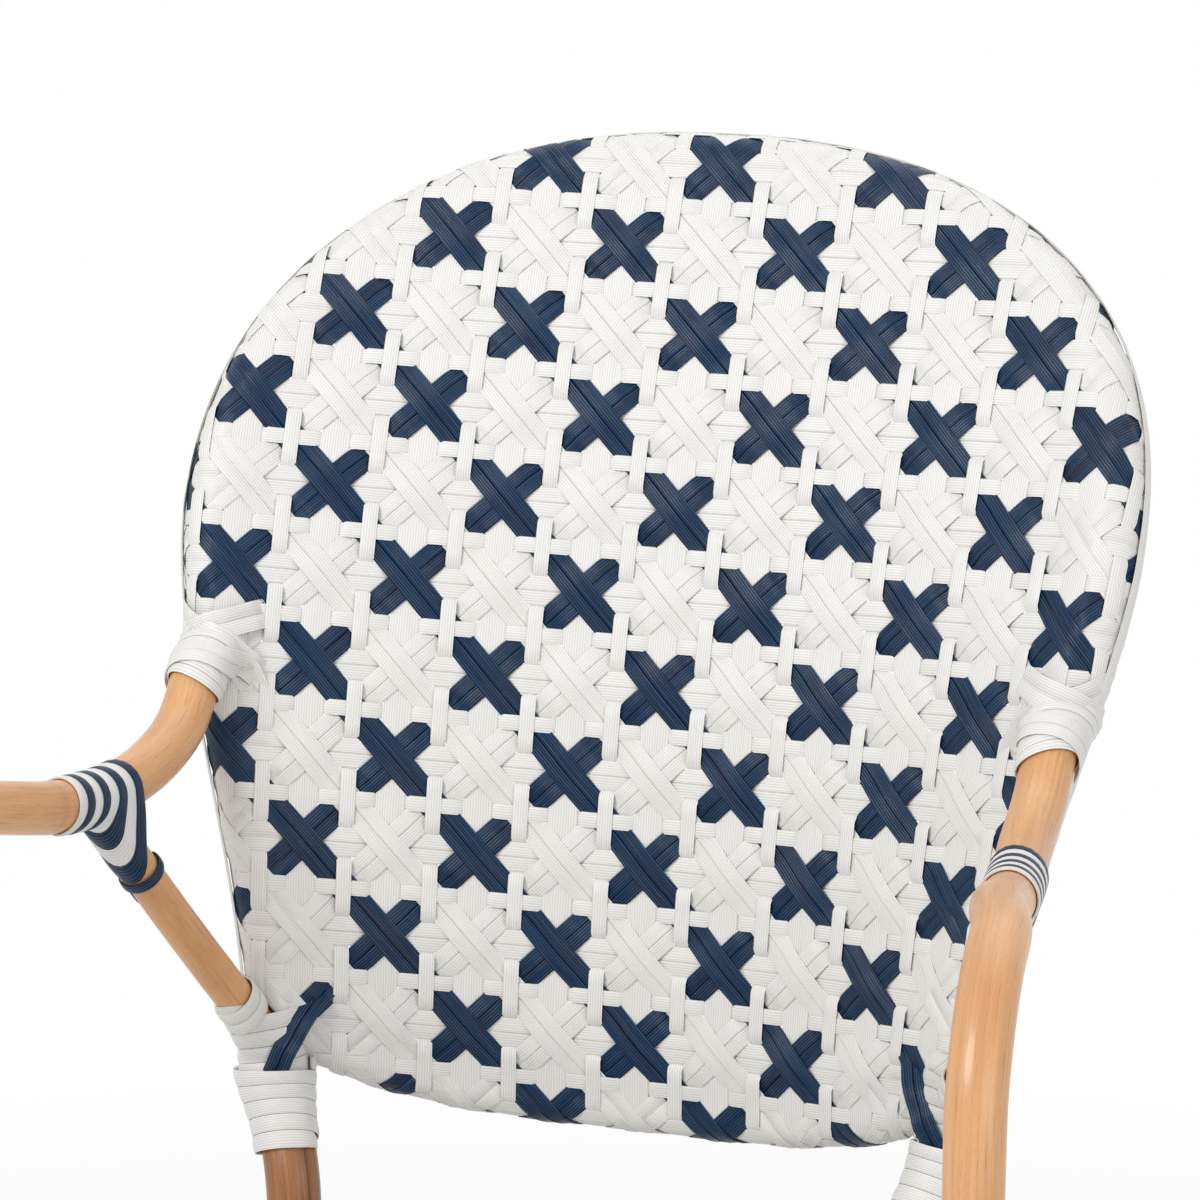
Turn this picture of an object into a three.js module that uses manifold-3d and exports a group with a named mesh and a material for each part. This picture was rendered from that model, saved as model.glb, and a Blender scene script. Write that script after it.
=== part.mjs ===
// Rattan bistro armchair: bent poles, a woven back and seat, strand bindings, screws and glides.
// Millimetres, +Z up, the front of the chair faces -Y, and left is the sitter's left, at +X.
import * as THREE from 'three';
import { ConvexGeometry } from 'three/addons/geometries/ConvexGeometry.js';
import { mergeVertices } from 'three/addons/utils/BufferGeometryUtils.js';
import Module from 'manifold-3d';

const wasm = await Module();
wasm.setup();

// Poles
const backPoleRadius = 12;
const armPoleRadius = 11;
const strutRadius = 8.5;
const bottomRailRadius = 9;
const seatRingRadius = 12;
const seatRailRadius = 8;
const archRadius = 9;
const stretcherRadius = 9;

// Woven sheets and bindings
const clearance = 0.3;
const wrapSkin = 2.4;
const sheetThickness = 4;
const sheetInset = 0.6;
const bindingSkin = 2.2;

// Seat
const seatHeight = 440;
const seatTilt = THREE.MathUtils.degToRad(2);
const seatCornerRadius = 60;
const seatCornerAngle = THREE.MathUtils.degToRad(32);
const seatBackCentre = 0;
const seatRailSpacing = 120;
const seatRailBack = -20;
const ringButtGap = 0.4;

// Back sheet: a reclined saddle, bowed from side to side and swept backwards at the top
const panelRise = 265;
const panelHeight = seatHeight + panelRise;
const panelBack = 195;
const reclineAngle = THREE.MathUtils.degToRad(16.6);
const bowRadius = 373;
const bowFadeHeight = 284;
const sweepRadius = 906;

// Outline of the back hoop, measured along the sheet from its centre
const hoopHalfWidth = 200;
const shoulderHeight = 50;
const crownRise = 172;
const crownExponent = 2.3;
const waistInset = 45;
const waistDrop = 253;
const flankExponent = 1.6;
const railDrop = 206;
const railLift = 29;
const railExponent = 3;

// Rear legs below the back
const waistHalfWidth = 136.5;
const waistBack = 97;
const waistReach = 25;
const waistShares = [2.2, 1, -1, -2];
const rearLegShares = [0.25, 0.5, 0.75];
const rearFootHalfWidth = 172;
const rearFootBack = 205;
const rearLegExponent = 1.6;

// Arms, which turn down into the front legs
const armRootHeight = -6;
const armTuck = 4;
const armJointHalfWidth = 193;
const armJointBack = 43;
const armJointRise = 227.5;
const armJointHeight = seatHeight + armJointRise;
const armCrestRise = 263;
const armCrestHeight = seatHeight + armCrestRise;
const armBendRadius = 62;
const frontLegHalfWidth = 231;
const frontLegBack = -195;
const legSettle = 30;
const legSettleShares = [1, 2];

// Shares of the way back, down and inwards from the hoop to the joint
const armRearShares = [[0.263, 0.314, 0.53], [0.444, 0.714, 0.78], [0.689, 0.921, 0.73]];
// Shares of the way out, forwards and up from the joint to the crest, and of the turn at the crest
const armFrontShares = [[0.15, 0.18, 0.14], [0.3, 0.35, 0.45], [0.55, 0.54, 0.82], [0.8, 0.708, 1]];
const armBendShares = [[0.25, 0.9], [0.5, 0.95], [0.75, 0.98], [1, 1]];

// Struts from the arm joints down to the rear posts, close below the lower corners of the back
const strutReach = 18;
const strutFootDrop = 15.87;
const strutBow = 1.5;

// Arches and stretchers under the seat
const archFootHeight = 205;
const archHoldLength = 70;
const archBend = 95;
const archHoldShares = [0, 0.5, 1];
const rearArchSpread = THREE.MathUtils.degToRad(28);
const sideArchShares = [0.28, 0.54, 0.8];
// Which way an arch lies from its leg: inwards and backwards
const rearArchShares = [0.75, 0.66];
const sideRearShares = [0.3, 1];
const sideFrontShares = [0.64, 0.77];
const stretcherHeight = 150;
const lashingHeight = 230;
const lashingHalfWidth = 14;
const teeHalfWidth = 11;
const teeReach = 27;

// Screws and glides
const screwRadius = 2.5;
const screwHeadRadius = 4.5;
const screwHeadDepth = 3;
const screwRecess = 2.2;
const screwBite = 9;
const archScrewShare = 0.46;
const glideRadius = 9;
const glideThickness = 5;
const glideStemRadius = 2.5;
const glideStemLength = 16;

// Bindings of the arms and of the waist
const hoopBindingHalfWidth = 17;
const hoopBindingReach = 36;
const stripeFront = 36;
const stripeRear = 10;
const stripeDrop = 50;
const waistBindingTop = 13;
const waistCuffLength = 37;
const waistStrutReach = 46;
const cornerBindingHalfWidth = 15;

// How a cut runs past what it cuts, the step of a numerical slope, and a steep line's share of up
const overrun = 3;
const probe = 0.5;
const steepShare = 0.7;
const halvings = 40;

// Faces
const divisionsPerPoint = 40;
const poleSides = 9;
const thinSides = 7;
const seatRingSides = 8;
const smallSides = 6;
const ringSides = 8;
const crownStretches = 8;
const flankStretches = 4;
const railStretches = 6;
const sheetRings = 3;
const rearArcStretches = 2;
const cornerArcStretches = 2;
const archBendStretches = 3;

const honeyRattan = { color: 0xd9a765, roughness: 0.42, metalness: 0 };
const brownRattan = { color: 0x8a5a34, roughness: 0.5, metalness: 0 };
const whiteStrand = { color: 0xf1f0ec, roughness: 0.5, metalness: 0 };
const navyStrand = { color: 0x1b2c55, roughness: 0.45, metalness: 0 };
const steel = { color: 0xb8bbbf, roughness: 0.3, metalness: 1 };
const nylon = { color: 0x2b2b2b, roughness: 0.6, metalness: 0 };

const sides = { left: 1, right: -1 };
const chair = new THREE.Group();
chair.name = 'rattan_bistro_chair';

// A route is a smooth line through its points, with the same number of steps in each stretch.
class Route extends THREE.CatmullRomCurve3 {
  constructor(points) {
    super(points, false, 'centripetal');
    this.arcLengthDivisions = points.length * divisionsPerPoint;
  }
  getPointAt(t) {
    return this.getPoint(t);
  }
  getTangentAt(t) {
    return this.getTangent(t);
  }
}

function solid(geometry) {
  const plain = geometry.clone();
  for (const name of ['normal', 'uv']) plain.deleteAttribute(name);
  const merged = mergeVertices(plain);
  const mesh = new wasm.Mesh({
    numProp: 3,
    vertProperties: new Float32Array(merged.attributes.position.array),
    triVerts: new Uint32Array(merged.index.array),
  });
  return new wasm.Manifold(mesh);
}

function surface(body) {
  const mesh = body.getMesh();
  const geometry = new THREE.BufferGeometry();
  geometry.setAttribute('position', new THREE.BufferAttribute(mesh.vertProperties, 3));
  geometry.setIndex(new THREE.BufferAttribute(mesh.triVerts, 1));
  geometry.computeVertexNormals();
  return geometry;
}

function addPart(name, body, look) {
  const mesh = new THREE.Mesh(surface(body), new THREE.MeshStandardMaterial(look));
  mesh.name = name;
  chair.add(mesh);
  return mesh;
}

function disc(radius, count) {
  const shape = new THREE.Shape();
  for (let k = 0; k < count; k += 1) {
    const angle = (2 * Math.PI * k) / count;
    const [x, y] = [radius * Math.cos(angle), radius * Math.sin(angle)];
    if (k === 0) shape.moveTo(x, y);
    else shape.lineTo(x, y);
  }
  shape.closePath();
  return shape;
}

function pole(route, radius, count = poleSides) {
  const geometry = new THREE.ExtrudeGeometry(disc(radius, count), {
    steps: route.points.length - 1,
    extrudePath: route,
    bevelEnabled: false,
  });
  return solid(geometry);
}

function union(bodies) {
  return bodies.reduce((sum, body) => sum.add(body));
}

function cut(body, tools) {
  return tools.reduce((rest, tool) => rest.subtract(tool), body);
}

function mirrored(point) {
  return new THREE.Vector3(-point.x, point.y, point.z);
}

function onSide(side, points) {
  return side > 0 ? points : points.map(mirrored);
}

// Where a route passes a value of x, y or z, between two of its own parameters
function stationWhere(route, axis, value, from, to) {
  let [low, high] = [from, to];
  const rising = route.getPoint(to)[axis] > route.getPoint(from)[axis];
  for (let k = 0; k < halvings; k += 1) {
    const middle = (low + high) / 2;
    if ((route.getPoint(middle)[axis] < value) === rising) low = middle;
    else high = middle;
  }
  return { point: route.getPoint(low), tangent: route.getTangent(low) };
}

function stationAtLength(route, length) {
  const t = route.getUtoTmapping(0, length);
  return { point: route.getPoint(t), tangent: route.getTangent(t) };
}

function moved(station, length) {
  const point = station.point.clone().addScaledVector(station.tangent, length);
  return { point, tangent: station.tangent };
}

// A ring of points round a station, square to its tangent, whose flats lie at a radius
function ringAround(station, flatRadius) {
  const radius = flatRadius / Math.cos(Math.PI / ringSides);
  const up = Math.abs(station.tangent.z) < steepShare
    ? new THREE.Vector3(0, 0, 1)
    : new THREE.Vector3(1, 0, 0);
  const across = new THREE.Vector3().crossVectors(station.tangent, up).normalize();
  const third = new THREE.Vector3().crossVectors(across, station.tangent).normalize();
  const ring = [];
  for (let k = 0; k < ringSides; k += 1) {
    const angle = (2 * Math.PI * k) / ringSides;
    ring.push(station.point.clone()
      .addScaledVector(across, radius * Math.cos(angle))
      .addScaledVector(third, radius * Math.sin(angle)));
  }
  return ring;
}

// The largest body that a cut leaves, without the slivers that it frees
function largest(body) {
  return body.decompose().reduce((kept, one) => (one.volume() > kept.volume() ? one : kept));
}

// A binding fills the space that its rings span, less the poles and sheets that it ties
function binding(rings, members) {
  return largest(cut(solid(new ConvexGeometry(rings.flat())), members));
}

// The point of the back sheet at u across and v up, measured along it, and depth behind it
function sheetPoint(u, v) {
  const curvature = (1 - v / bowFadeHeight) / bowRadius;
  const half = (u * curvature) / 2;
  const ease = half === 0 ? 1 : Math.sin(half) / half;
  const sweep = v / sweepRadius;
  const point = new THREE.Vector3(
    u * ease * Math.cos(half),
    sweepRadius * (1 - Math.cos(sweep)) - u * ease * Math.sin(half),
    sweepRadius * Math.sin(sweep),
  );
  point.applyAxisAngle(new THREE.Vector3(1, 0, 0), -reclineAngle);
  return point.add(new THREE.Vector3(0, panelBack, panelHeight));
}

function panelPoint(u, v, depth) {
  const across = sheetPoint(u + probe, v).sub(sheetPoint(u - probe, v));
  const along = sheetPoint(u, v + probe).sub(sheetPoint(u, v - probe));
  const normal = new THREE.Vector3().crossVectors(along, across).normalize();
  return sheetPoint(u, v).addScaledVector(normal, depth);
}

const hoopRim = backPoleRadius + clearance + wrapSkin;
const hoopDepth = hoopRim - sheetInset - sheetThickness / 2;
const waistV = shoulderHeight - waistDrop;

function flankU(v) {
  const share = (shoulderHeight - v) / waistDrop;
  return hoopHalfWidth - waistInset * Math.sin((Math.PI / 2) * share) ** flankExponent;
}

function railV(u, reach) {
  return -railDrop + railLift * (Math.abs(u) / reach) ** railExponent;
}

// Half of the hoop's outline, from the crown down to a height on the flank
function hoopOutline(lowest) {
  const points = [];
  for (let k = 0; k <= crownStretches; k += 1) {
    const angle = (Math.PI / 2) * (k / crownStretches);
    points.push([
      hoopHalfWidth * Math.sin(angle) ** (2 / crownExponent),
      shoulderHeight + crownRise * Math.max(0, Math.cos(angle)) ** (2 / crownExponent),
    ]);
  }
  for (let k = 1; k <= flankStretches; k += 1) {
    const v = shoulderHeight + (lowest - shoulderHeight) * (k / flankStretches);
    points.push([flankU(v), v]);
  }
  return points;
}

// Seat frame of reference: its plan is drawn at the ring's centre line and then tilted
const seatRim = seatRingRadius + clearance + wrapSkin;
const seatPlace = new THREE.Matrix4().makeRotationX(-seatTilt)
  .setPosition(0, 0, seatHeight - seatRim);

function seatPoint(x, y, z = 0) {
  return new THREE.Vector3(x, y, z).applyMatrix4(seatPlace);
}

// Rear leg centre line
const ringHeightAtWaist = seatPoint(0, waistBack).z;
const legTop = ringHeightAtWaist - 2 * waistReach;

function rearLegPoint(height) {
  const share = ((legTop - height) / legTop) ** rearLegExponent;
  return new THREE.Vector3(
    waistHalfWidth + (rearFootHalfWidth - waistHalfWidth) * share,
    waistBack + (rearFootBack - waistBack) * share,
    height,
  );
}

function backFrameHalf() {
  const points = hoopOutline(waistV).map(([u, v]) => panelPoint(u, v, hoopDepth));
  for (const share of waistShares) {
    const height = ringHeightAtWaist + waistReach * share;
    points.push(new THREE.Vector3(waistHalfWidth, waistBack, height));
  }
  for (const share of rearLegShares) points.push(rearLegPoint(legTop * (1 - share)));
  points.push(rearLegPoint(glideThickness));
  const last = points[points.length - 1];
  const before = rearLegPoint(glideThickness + overrun);
  points.push(last.clone().addScaledVector(last.clone().sub(before).normalize(), backPoleRadius));
  return points;
}

const backHalf = backFrameHalf();
const backRoute = new Route([...backHalf.slice(1).reverse().map(mirrored), ...backHalf]);
const crownT = 0.5;

function hoopStation(side, v) {
  const point = panelPoint(side * flankU(v), v, hoopDepth);
  const above = panelPoint(side * flankU(v + probe), v + probe, hoopDepth);
  const below = panelPoint(side * flankU(v - probe), v - probe, hoopDepth);
  return { point, tangent: above.sub(below).normalize() };
}

function backStation(side, height) {
  return stationWhere(backRoute, 'z', height, crownT, side > 0 ? 1 : 0);
}

// Bottom rail of the back, which follows the sheet between the two posts
const railReach = flankU(-railDrop + railLift);
const lowerCorner = panelPoint(railReach, railV(railReach, railReach), hoopDepth);
const strutFootHeight = lowerCorner.z - strutFootDrop;

function railRoute(end) {
  const points = [];
  for (let k = 0; k <= railStretches; k += 1) {
    const u = end * ((2 * k) / railStretches - 1);
    points.push(panelPoint(u, railV(u, railReach), hoopDepth));
  }
  return new Route(points);
}

const bottomRoute = railRoute(railReach);

// The stretch of the hoop that the weave wraps, longer at both ends by a margin
function hoopWeaveRoute(margin) {
  const half = hoopOutline(-railDrop + railLift).map(([u, v]) => panelPoint(u, v, hoopDepth));
  const [before, last] = half.slice(-2);
  last.addScaledVector(last.clone().sub(before).normalize(), margin);
  return new Route([...half.slice(1).reverse().map(mirrored), ...half]);
}

function sheetOutline() {
  const half = hoopOutline(-railDrop + railLift);
  const rail = [];
  for (let k = 1; k < railStretches; k += 1) {
    const u = railReach * (1 - (2 * k) / railStretches);
    rail.push([u, railV(u, railReach)]);
  }
  const left = half.slice(1).reverse().map(([u, v]) => [-u, v]);
  return [...half, ...rail, ...left];
}

// A closed sheet over an outline: rings of points shrink towards its centre, on two faces
function sheetBody(outline, place, halfThickness) {
  const positions = [];
  for (const depth of [-halfThickness, halfThickness]) {
    positions.push(...place(0, 0, depth).toArray());
    for (let ring = 1; ring <= sheetRings; ring += 1) {
      const share = ring / sheetRings;
      for (const [u, v] of outline) positions.push(...place(u * share, v * share, depth).toArray());
    }
  }
  const count = outline.length;
  const perFace = 1 + sheetRings * count;
  const at = (face, ring, k) => face * perFace + (ring ? 1 + (ring - 1) * count + (k % count) : 0);
  const faces = [];
  for (let k = 0; k < count; k += 1) {
    faces.push(at(0, 0, 0), at(0, 1, k + 1), at(0, 1, k));
    faces.push(at(1, 0, 0), at(1, 1, k), at(1, 1, k + 1));
    for (let ring = 1; ring < sheetRings; ring += 1) {
      for (const [face, a, b] of [[0, k, k + 1], [1, k + 1, k]]) {
        faces.push(at(face, ring, a), at(face, ring, b), at(face, ring + 1, a));
        faces.push(at(face, ring, b), at(face, ring + 1, b), at(face, ring + 1, a));
      }
    }
    faces.push(at(0, sheetRings, k), at(0, sheetRings, k + 1), at(1, sheetRings, k));
    faces.push(at(0, sheetRings, k + 1), at(1, sheetRings, k + 1), at(1, sheetRings, k));
  }
  const geometry = new THREE.BufferGeometry();
  geometry.setAttribute('position', new THREE.Float32BufferAttribute(positions, 3));
  geometry.setIndex(faces);
  return solid(geometry);
}

// The woven back with its wrap round the hoop and the rail, grown on all sides by a margin
function panelBody(margin) {
  const growth = 1 + margin / hoopHalfWidth;
  const outline = sheetOutline().map(([u, v]) => [u * growth, v * growth]);
  return union([
    sheetBody(outline, panelPoint, sheetThickness / 2 + margin),
    pole(hoopWeaveRoute(wrapSkin + margin), hoopRim + margin, poleSides),
    pole(bottomRoute, bottomRailRadius + clearance + wrapSkin + margin, thinSides),
  ]);
}

// Arm pole, from the hoop through the joint to the crest, and down as the front leg
function armRoute(side) {
  const root = panelPoint(flankU(armRootHeight), armRootHeight, hoopDepth);
  const joint = new THREE.Vector3(armJointHalfWidth, armJointBack, armJointHeight);
  const foot = new THREE.Vector3(frontLegHalfWidth, frontLegBack, glideThickness);
  const points = [root];
  for (const [backShare, dropShare, tuckShare] of armRearShares) {
    points.push(new THREE.Vector3(
      root.x + (joint.x - root.x) * backShare - armTuck * tuckShare,
      root.y + (joint.y - root.y) * backShare,
      root.z + (joint.z - root.z) * dropShare,
    ));
  }
  points.push(joint);
  for (const [sideShare, backShare, riseShare] of armFrontShares) {
    points.push(new THREE.Vector3(
      joint.x + (foot.x - joint.x) * sideShare,
      joint.y + (foot.y - joint.y) * backShare,
      joint.z + (armCrestHeight - joint.z) * riseShare,
    ));
  }
  const bendBack = frontLegBack + armBendRadius;
  const bendHeight = armCrestHeight - armBendRadius;
  for (const [turnShare, sideShare] of armBendShares) {
    const angle = (Math.PI / 2) * turnShare;
    points.push(new THREE.Vector3(
      joint.x + (foot.x - joint.x) * sideShare,
      bendBack - armBendRadius * Math.sin(angle),
      bendHeight + armBendRadius * Math.cos(angle),
    ));
  }
  for (const share of legSettleShares) {
    points.push(new THREE.Vector3(foot.x, foot.y, bendHeight - share * legSettle));
  }
  points.push(foot);
  return new Route(onSide(side, points));
}

// The shares of an arm's length at which its crest and its leg start
const armCrestAt = armRearShares.length + 1 + armFrontShares.length;
const armLegAt = armCrestAt + armBendShares.length;
const armEndAt = armLegAt + legSettleShares.length + 1;

function armStation(side, back) {
  return stationWhere(armRoutes[side], 'y', back, 0, armCrestAt / armEndAt);
}

// Strut, from the arm joint down and back to the waist of the back frame
function strutRoute(side) {
  const top = armStation(side, armJointBack - strutReach).point;
  const foot = backStation(side, strutFootHeight).point;
  const middle = top.clone().lerp(foot, 0.5).add(new THREE.Vector3(side * strutBow, 0, 0));
  return new Route([top, middle, foot]);
}

// Plan of the seat ring: a belt round two front corner circles and one large rear circle
const frontToRing = armPoleRadius + clearance + seatRim;
const rearToRing = backPoleRadius + clearance + seatRim;
const cornerOffset = seatCornerRadius + frontToRing;
const cornerCentre = new THREE.Vector2(
  frontLegHalfWidth - cornerOffset * Math.cos(seatCornerAngle),
  frontLegBack + cornerOffset * Math.sin(seatCornerAngle),
);
const rearCentre = new THREE.Vector2(0, seatBackCentre);
const rearContact = new THREE.Vector2(waistHalfWidth, waistBack).sub(rearCentre);
const rearRadius = rearContact.length() - rearToRing;
const betweenCentres = cornerCentre.clone().sub(rearCentre);
const beltAngle = Math.atan2(betweenCentres.y, betweenCentres.x)
  + Math.acos((rearRadius - seatCornerRadius) / betweenCentres.length());

function onCircle(centre, radius, angle) {
  return new THREE.Vector2(Math.cos(angle), Math.sin(angle)).multiplyScalar(radius).add(centre);
}

const sideStart = onCircle(rearCentre, rearRadius, beltAngle);
const sideEnd = onCircle(cornerCentre, seatCornerRadius, beltAngle);

// Half of the ring's plan, from the middle of the rear round to the middle of the front
function ringPlan() {
  const points = [];
  const arc = (centre, radius, from, to, stretches) => {
    for (let k = 0; k < stretches; k += 1) {
      points.push(onCircle(centre, radius, from + (to - from) * (k / stretches)));
    }
  };
  arc(rearCentre, rearRadius, Math.PI / 2, rearContact.angle(), rearArcStretches);
  arc(rearCentre, rearRadius, rearContact.angle(), beltAngle, 1);
  points.push(sideStart);
  arc(cornerCentre, seatCornerRadius, beltAngle, -seatCornerAngle, cornerArcStretches);
  arc(cornerCentre, seatCornerRadius, -seatCornerAngle, -Math.PI / 2, cornerArcStretches);
  points.push(new THREE.Vector2(cornerCentre.x, cornerCentre.y - seatCornerRadius));
  points.push(new THREE.Vector2(0, cornerCentre.y - seatCornerRadius));
  return points;
}

const ringHalfPlan = ringPlan();

function ringPoints(side, atEnds) {
  const inner = ringHalfPlan.slice(1, -1).map((p) => seatPoint(side * p.x, p.y));
  const rear = seatPoint(side * atEnds, ringHalfPlan[0].y);
  const front = seatPoint(side * atEnds, ringHalfPlan[ringHalfPlan.length - 1].y);
  return [rear, ...inner, front];
}

// The ring pole is one bent length, whose ends butt at the middle of the rear
function ringPoleRoute() {
  const left = ringPoints(1, ringButtGap / 2);
  const right = ringPoints(-1, ringButtGap / 2);
  const front = seatPoint(0, ringHalfPlan[ringHalfPlan.length - 1].y);
  return new Route([...left.slice(0, -1), front, ...right.slice(0, -1).reverse()]);
}

function closedRing(radius, count) {
  return union([1, -1].map((side) => pole(new Route(ringPoints(side, -overrun)), radius, count)));
}

function railHalfLength(y) {
  const share = (y - sideStart.y) / (sideEnd.y - sideStart.y);
  return sideStart.x + (sideEnd.x - sideStart.x) * share;
}

function seatRailRoute(y) {
  const half = railHalfLength(y);
  const height = seatRim - sheetInset - sheetThickness - clearance - seatRailRadius;
  return new Route([seatPoint(-half, y, height), seatPoint(half, y, height)]);
}

function seatSlab(margin) {
  const shape = new THREE.Shape();
  const half = ringHalfPlan.map((p) => [p.x, p.y]);
  const outline = [...half, ...half.slice(1, -1).reverse().map(([x, y]) => [-x, y])];
  outline.forEach(([x, y], k) => (k ? shape.lineTo(x, y) : shape.moveTo(x, y)));
  shape.closePath();
  const depth = sheetThickness + 2 * margin;
  const geometry = new THREE.ExtrudeGeometry(shape, { depth, bevelEnabled: false, steps: 1 });
  geometry.translate(0, 0, seatRim - sheetInset - sheetThickness - margin);
  return solid(geometry.applyMatrix4(seatPlace));
}

// A pole beside another: a point square to the carrier's tangent at the sum of their radii
function beside(station, direction, distance) {
  const square = direction.clone()
    .addScaledVector(station.tangent, -direction.dot(station.tangent)).normalize();
  return { point: station.point.clone().addScaledVector(square, distance), tangent: station.tangent };
}

// An arch runs up beside one leg, bends under the seat ring and comes down beside another leg
function archRoute(ends, topPlan) {
  const top = topPlan.map((p) => seatPoint(p.x, p.y, -(seatRim + clearance + archRadius)));
  const holds = ends.map(({ legAt, legRadius, direction }) => archHoldShares.map((share) => beside(
    legAt(archFootHeight + archHoldLength * share), direction, legRadius + clearance + archRadius,
  ).point));
  const bends = [top[0], top[top.length - 1]].map((end, k) => {
    const start = holds[k][holds[k].length - 1];
    const corner = new THREE.Vector3(start.x, start.y, end.z);
    const bend = new THREE.QuadraticBezierCurve3(start, corner, end);
    return bend.getPoints(archBendStretches).slice(1, -1);
  });
  return new Route([
    ...holds[0], ...bends[0], ...top, ...bends[1].reverse(), ...holds[1].reverse(),
  ]);
}

// A pole's section grown so that its flats lie a clearance outside the flats of the pole
function grownRadius(radius, count) {
  return radius + clearance / Math.cos(Math.PI / count);
}

function grown(route, radius, count = poleSides) {
  return pole(route, grownRadius(radius, count), count);
}

function revolve(profile, count) {
  const points = profile.map(([x, y]) => new THREE.Vector2(x, y));
  return new THREE.LatheGeometry(points, count);
}

// A countersunk screw of a given length with its tip at the origin, and the bore that takes it
function screwGeometry(length) {
  return revolve([
    [0, 0], [screwRadius, screwRadius], [screwRadius, length - screwHeadDepth],
    [screwHeadRadius, length], [0, length],
  ], smallSides);
}

function screwBore(length) {
  const wide = 1 / Math.cos(Math.PI / smallSides);
  return revolve([
    [0, -clearance], [(screwRadius + clearance) * wide, -clearance],
    [(screwRadius + clearance) * wide, length - screwHeadDepth - clearance],
    [(screwHeadRadius + clearance) * wide, length - clearance],
    [(screwHeadRadius + clearance) * wide, length + screwRecess + overrun],
    [0, length + screwRecess + overrun],
  ], smallSides);
}

// A screw enters at its head, a recess below the surface of the pole that it passes through
function screwPlace(centre, direction, carrierRadius, length) {
  const back = direction.clone().negate();
  const turn = new THREE.Quaternion().setFromUnitVectors(new THREE.Vector3(0, 1, 0), back);
  const head = centre.clone().addScaledVector(back, carrierRadius - screwRecess);
  const tip = head.clone().addScaledVector(direction, length);
  return new THREE.Matrix4().compose(tip, turn, new THREE.Vector3(1, 1, 1));
}

function addPlaced(name, geometry, place, look) {
  const mesh = addPart(name, solid(geometry), look);
  mesh.applyMatrix4(place);
}

function boreBody(screw) {
  return solid(screwBore(screw.length).applyMatrix4(screw.place));
}

function screwInto(name, centre, direction, carrierRadius, length) {
  return { name, length, place: screwPlace(centre, direction, carrierRadius, length) };
}

const armRoutes = { 1: armRoute(1), [-1]: armRoute(-1) };
const strutRoutes = { 1: strutRoute(1), [-1]: strutRoute(-1) };

function frontLegStation(side, height) {
  return stationWhere(armRoutes[side], 'z', height, armLegAt / armEndAt, 1);
}

// Seat frame pieces
const ringRoute = ringPoleRoute();
const seatRails = {
  front: seatRailBack - seatRailSpacing / 2,
  rear: seatRailBack + seatRailSpacing / 2,
};
const railRoutes = Object.fromEntries(
  Object.entries(seatRails).map(([name, y]) => [name, seatRailRoute(y)]),
);

// Where the legs touch the ring, and the way from each leg's centre to the ring's
const contacts = {};
for (const [name, side] of Object.entries(sides)) {
  const frontWay = new THREE.Vector3(-side * Math.cos(seatCornerAngle), Math.sin(seatCornerAngle), 0);
  const rearWay = new THREE.Vector3(-side * rearContact.x, -rearContact.y, 0).normalize();
  const frontHeight = seatPoint(0, frontLegBack + frontToRing * frontWay.y).z;
  const rearHeight = seatPoint(0, waistBack + rearToRing * rearWay.y).z;
  contacts[`front_${name}`] = {
    side,
    way: frontWay,
    reach: frontToRing,
    radius: armPoleRadius,
    leg: frontLegStation(side, frontHeight),
  };
  contacts[`rear_${name}`] = {
    side,
    way: rearWay,
    reach: rearToRing,
    radius: backPoleRadius,
    leg: backStation(side, rearHeight),
  };
}

// Screws, with the names of the parts that they pass through or bite into
const screws = [];
for (const [name, contact] of Object.entries(contacts)) {
  const length = contact.radius - screwRecess + contact.reach + screwRadius;
  const { leg, way, radius } = contact;
  screws.push(screwInto(`seat_screw_${name}`, leg.point, way, radius, length));
}
for (const [name, side] of Object.entries(sides)) {
  const arm = armRoutes[side];
  const armLength = backPoleRadius - screwRecess + hoopRim + clearance + 2 * screwBite;
  screws.push(screwInto(`arm_screw_${name}`, arm.getPoint(0), arm.getTangent(0),
    backPoleRadius, armLength));
  const strut = strutRoutes[side];
  const strutLength = backPoleRadius - screwRecess + backPoleRadius + clearance + 2 * screwBite;
  screws.push(screwInto(`strut_screw_${name}`, strut.getPoint(1), strut.getTangent(1).negate(),
    backPoleRadius, strutLength));
}

// Arches
const archOffset = (x, y) => new THREE.Vector3(x, y, 0).normalize();
const frontLine = ringHalfPlan[ringHalfPlan.length - 1].y;
const frontPush = (frontLine - frontLegBack) / (armPoleRadius + clearance + archRadius);
const frontTopHalf = frontLegHalfWidth - archRadius - armPoleRadius - archBend;
function frontEnd(side, direction) {
  return { legAt: (z) => frontLegStation(side, z), legRadius: armPoleRadius, direction };
}
function rearEnd(side, direction) {
  return { legAt: (z) => backStation(side, z), legRadius: backPoleRadius, direction };
}
const frontIn = Math.sqrt(1 - frontPush ** 2);
const [rearIn, rearPush] = rearArchShares;
const archRoutes = {
  front: archRoute(
    [-1, 1].map((side) => frontEnd(side, archOffset(-side * frontIn, frontPush))),
    [-frontTopHalf, 0, frontTopHalf].map((x) => new THREE.Vector2(x, frontLine)),
  ),
  rear: archRoute(
    [-1, 1].map((side) => rearEnd(side, archOffset(-side * rearIn, rearPush))),
    [1, 0, -1].map((turn) => onCircle(rearCentre, rearRadius, Math.PI / 2 + turn * rearArchSpread)),
  ),
};
for (const [name, side] of Object.entries(sides)) {
  const [outShare, forwardShare] = sideRearShares;
  const [inShare, backShare] = sideFrontShares;
  archRoutes[name] = archRoute([
    rearEnd(side, archOffset(side * outShare, -forwardShare)),
    frontEnd(side, archOffset(-side * inShare, backShare)),
  ], sideArchShares.map((share) => {
    const along = sideStart.clone().lerp(sideEnd, share);
    return new THREE.Vector2(side * along.x, along.y);
  }));
}
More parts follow.
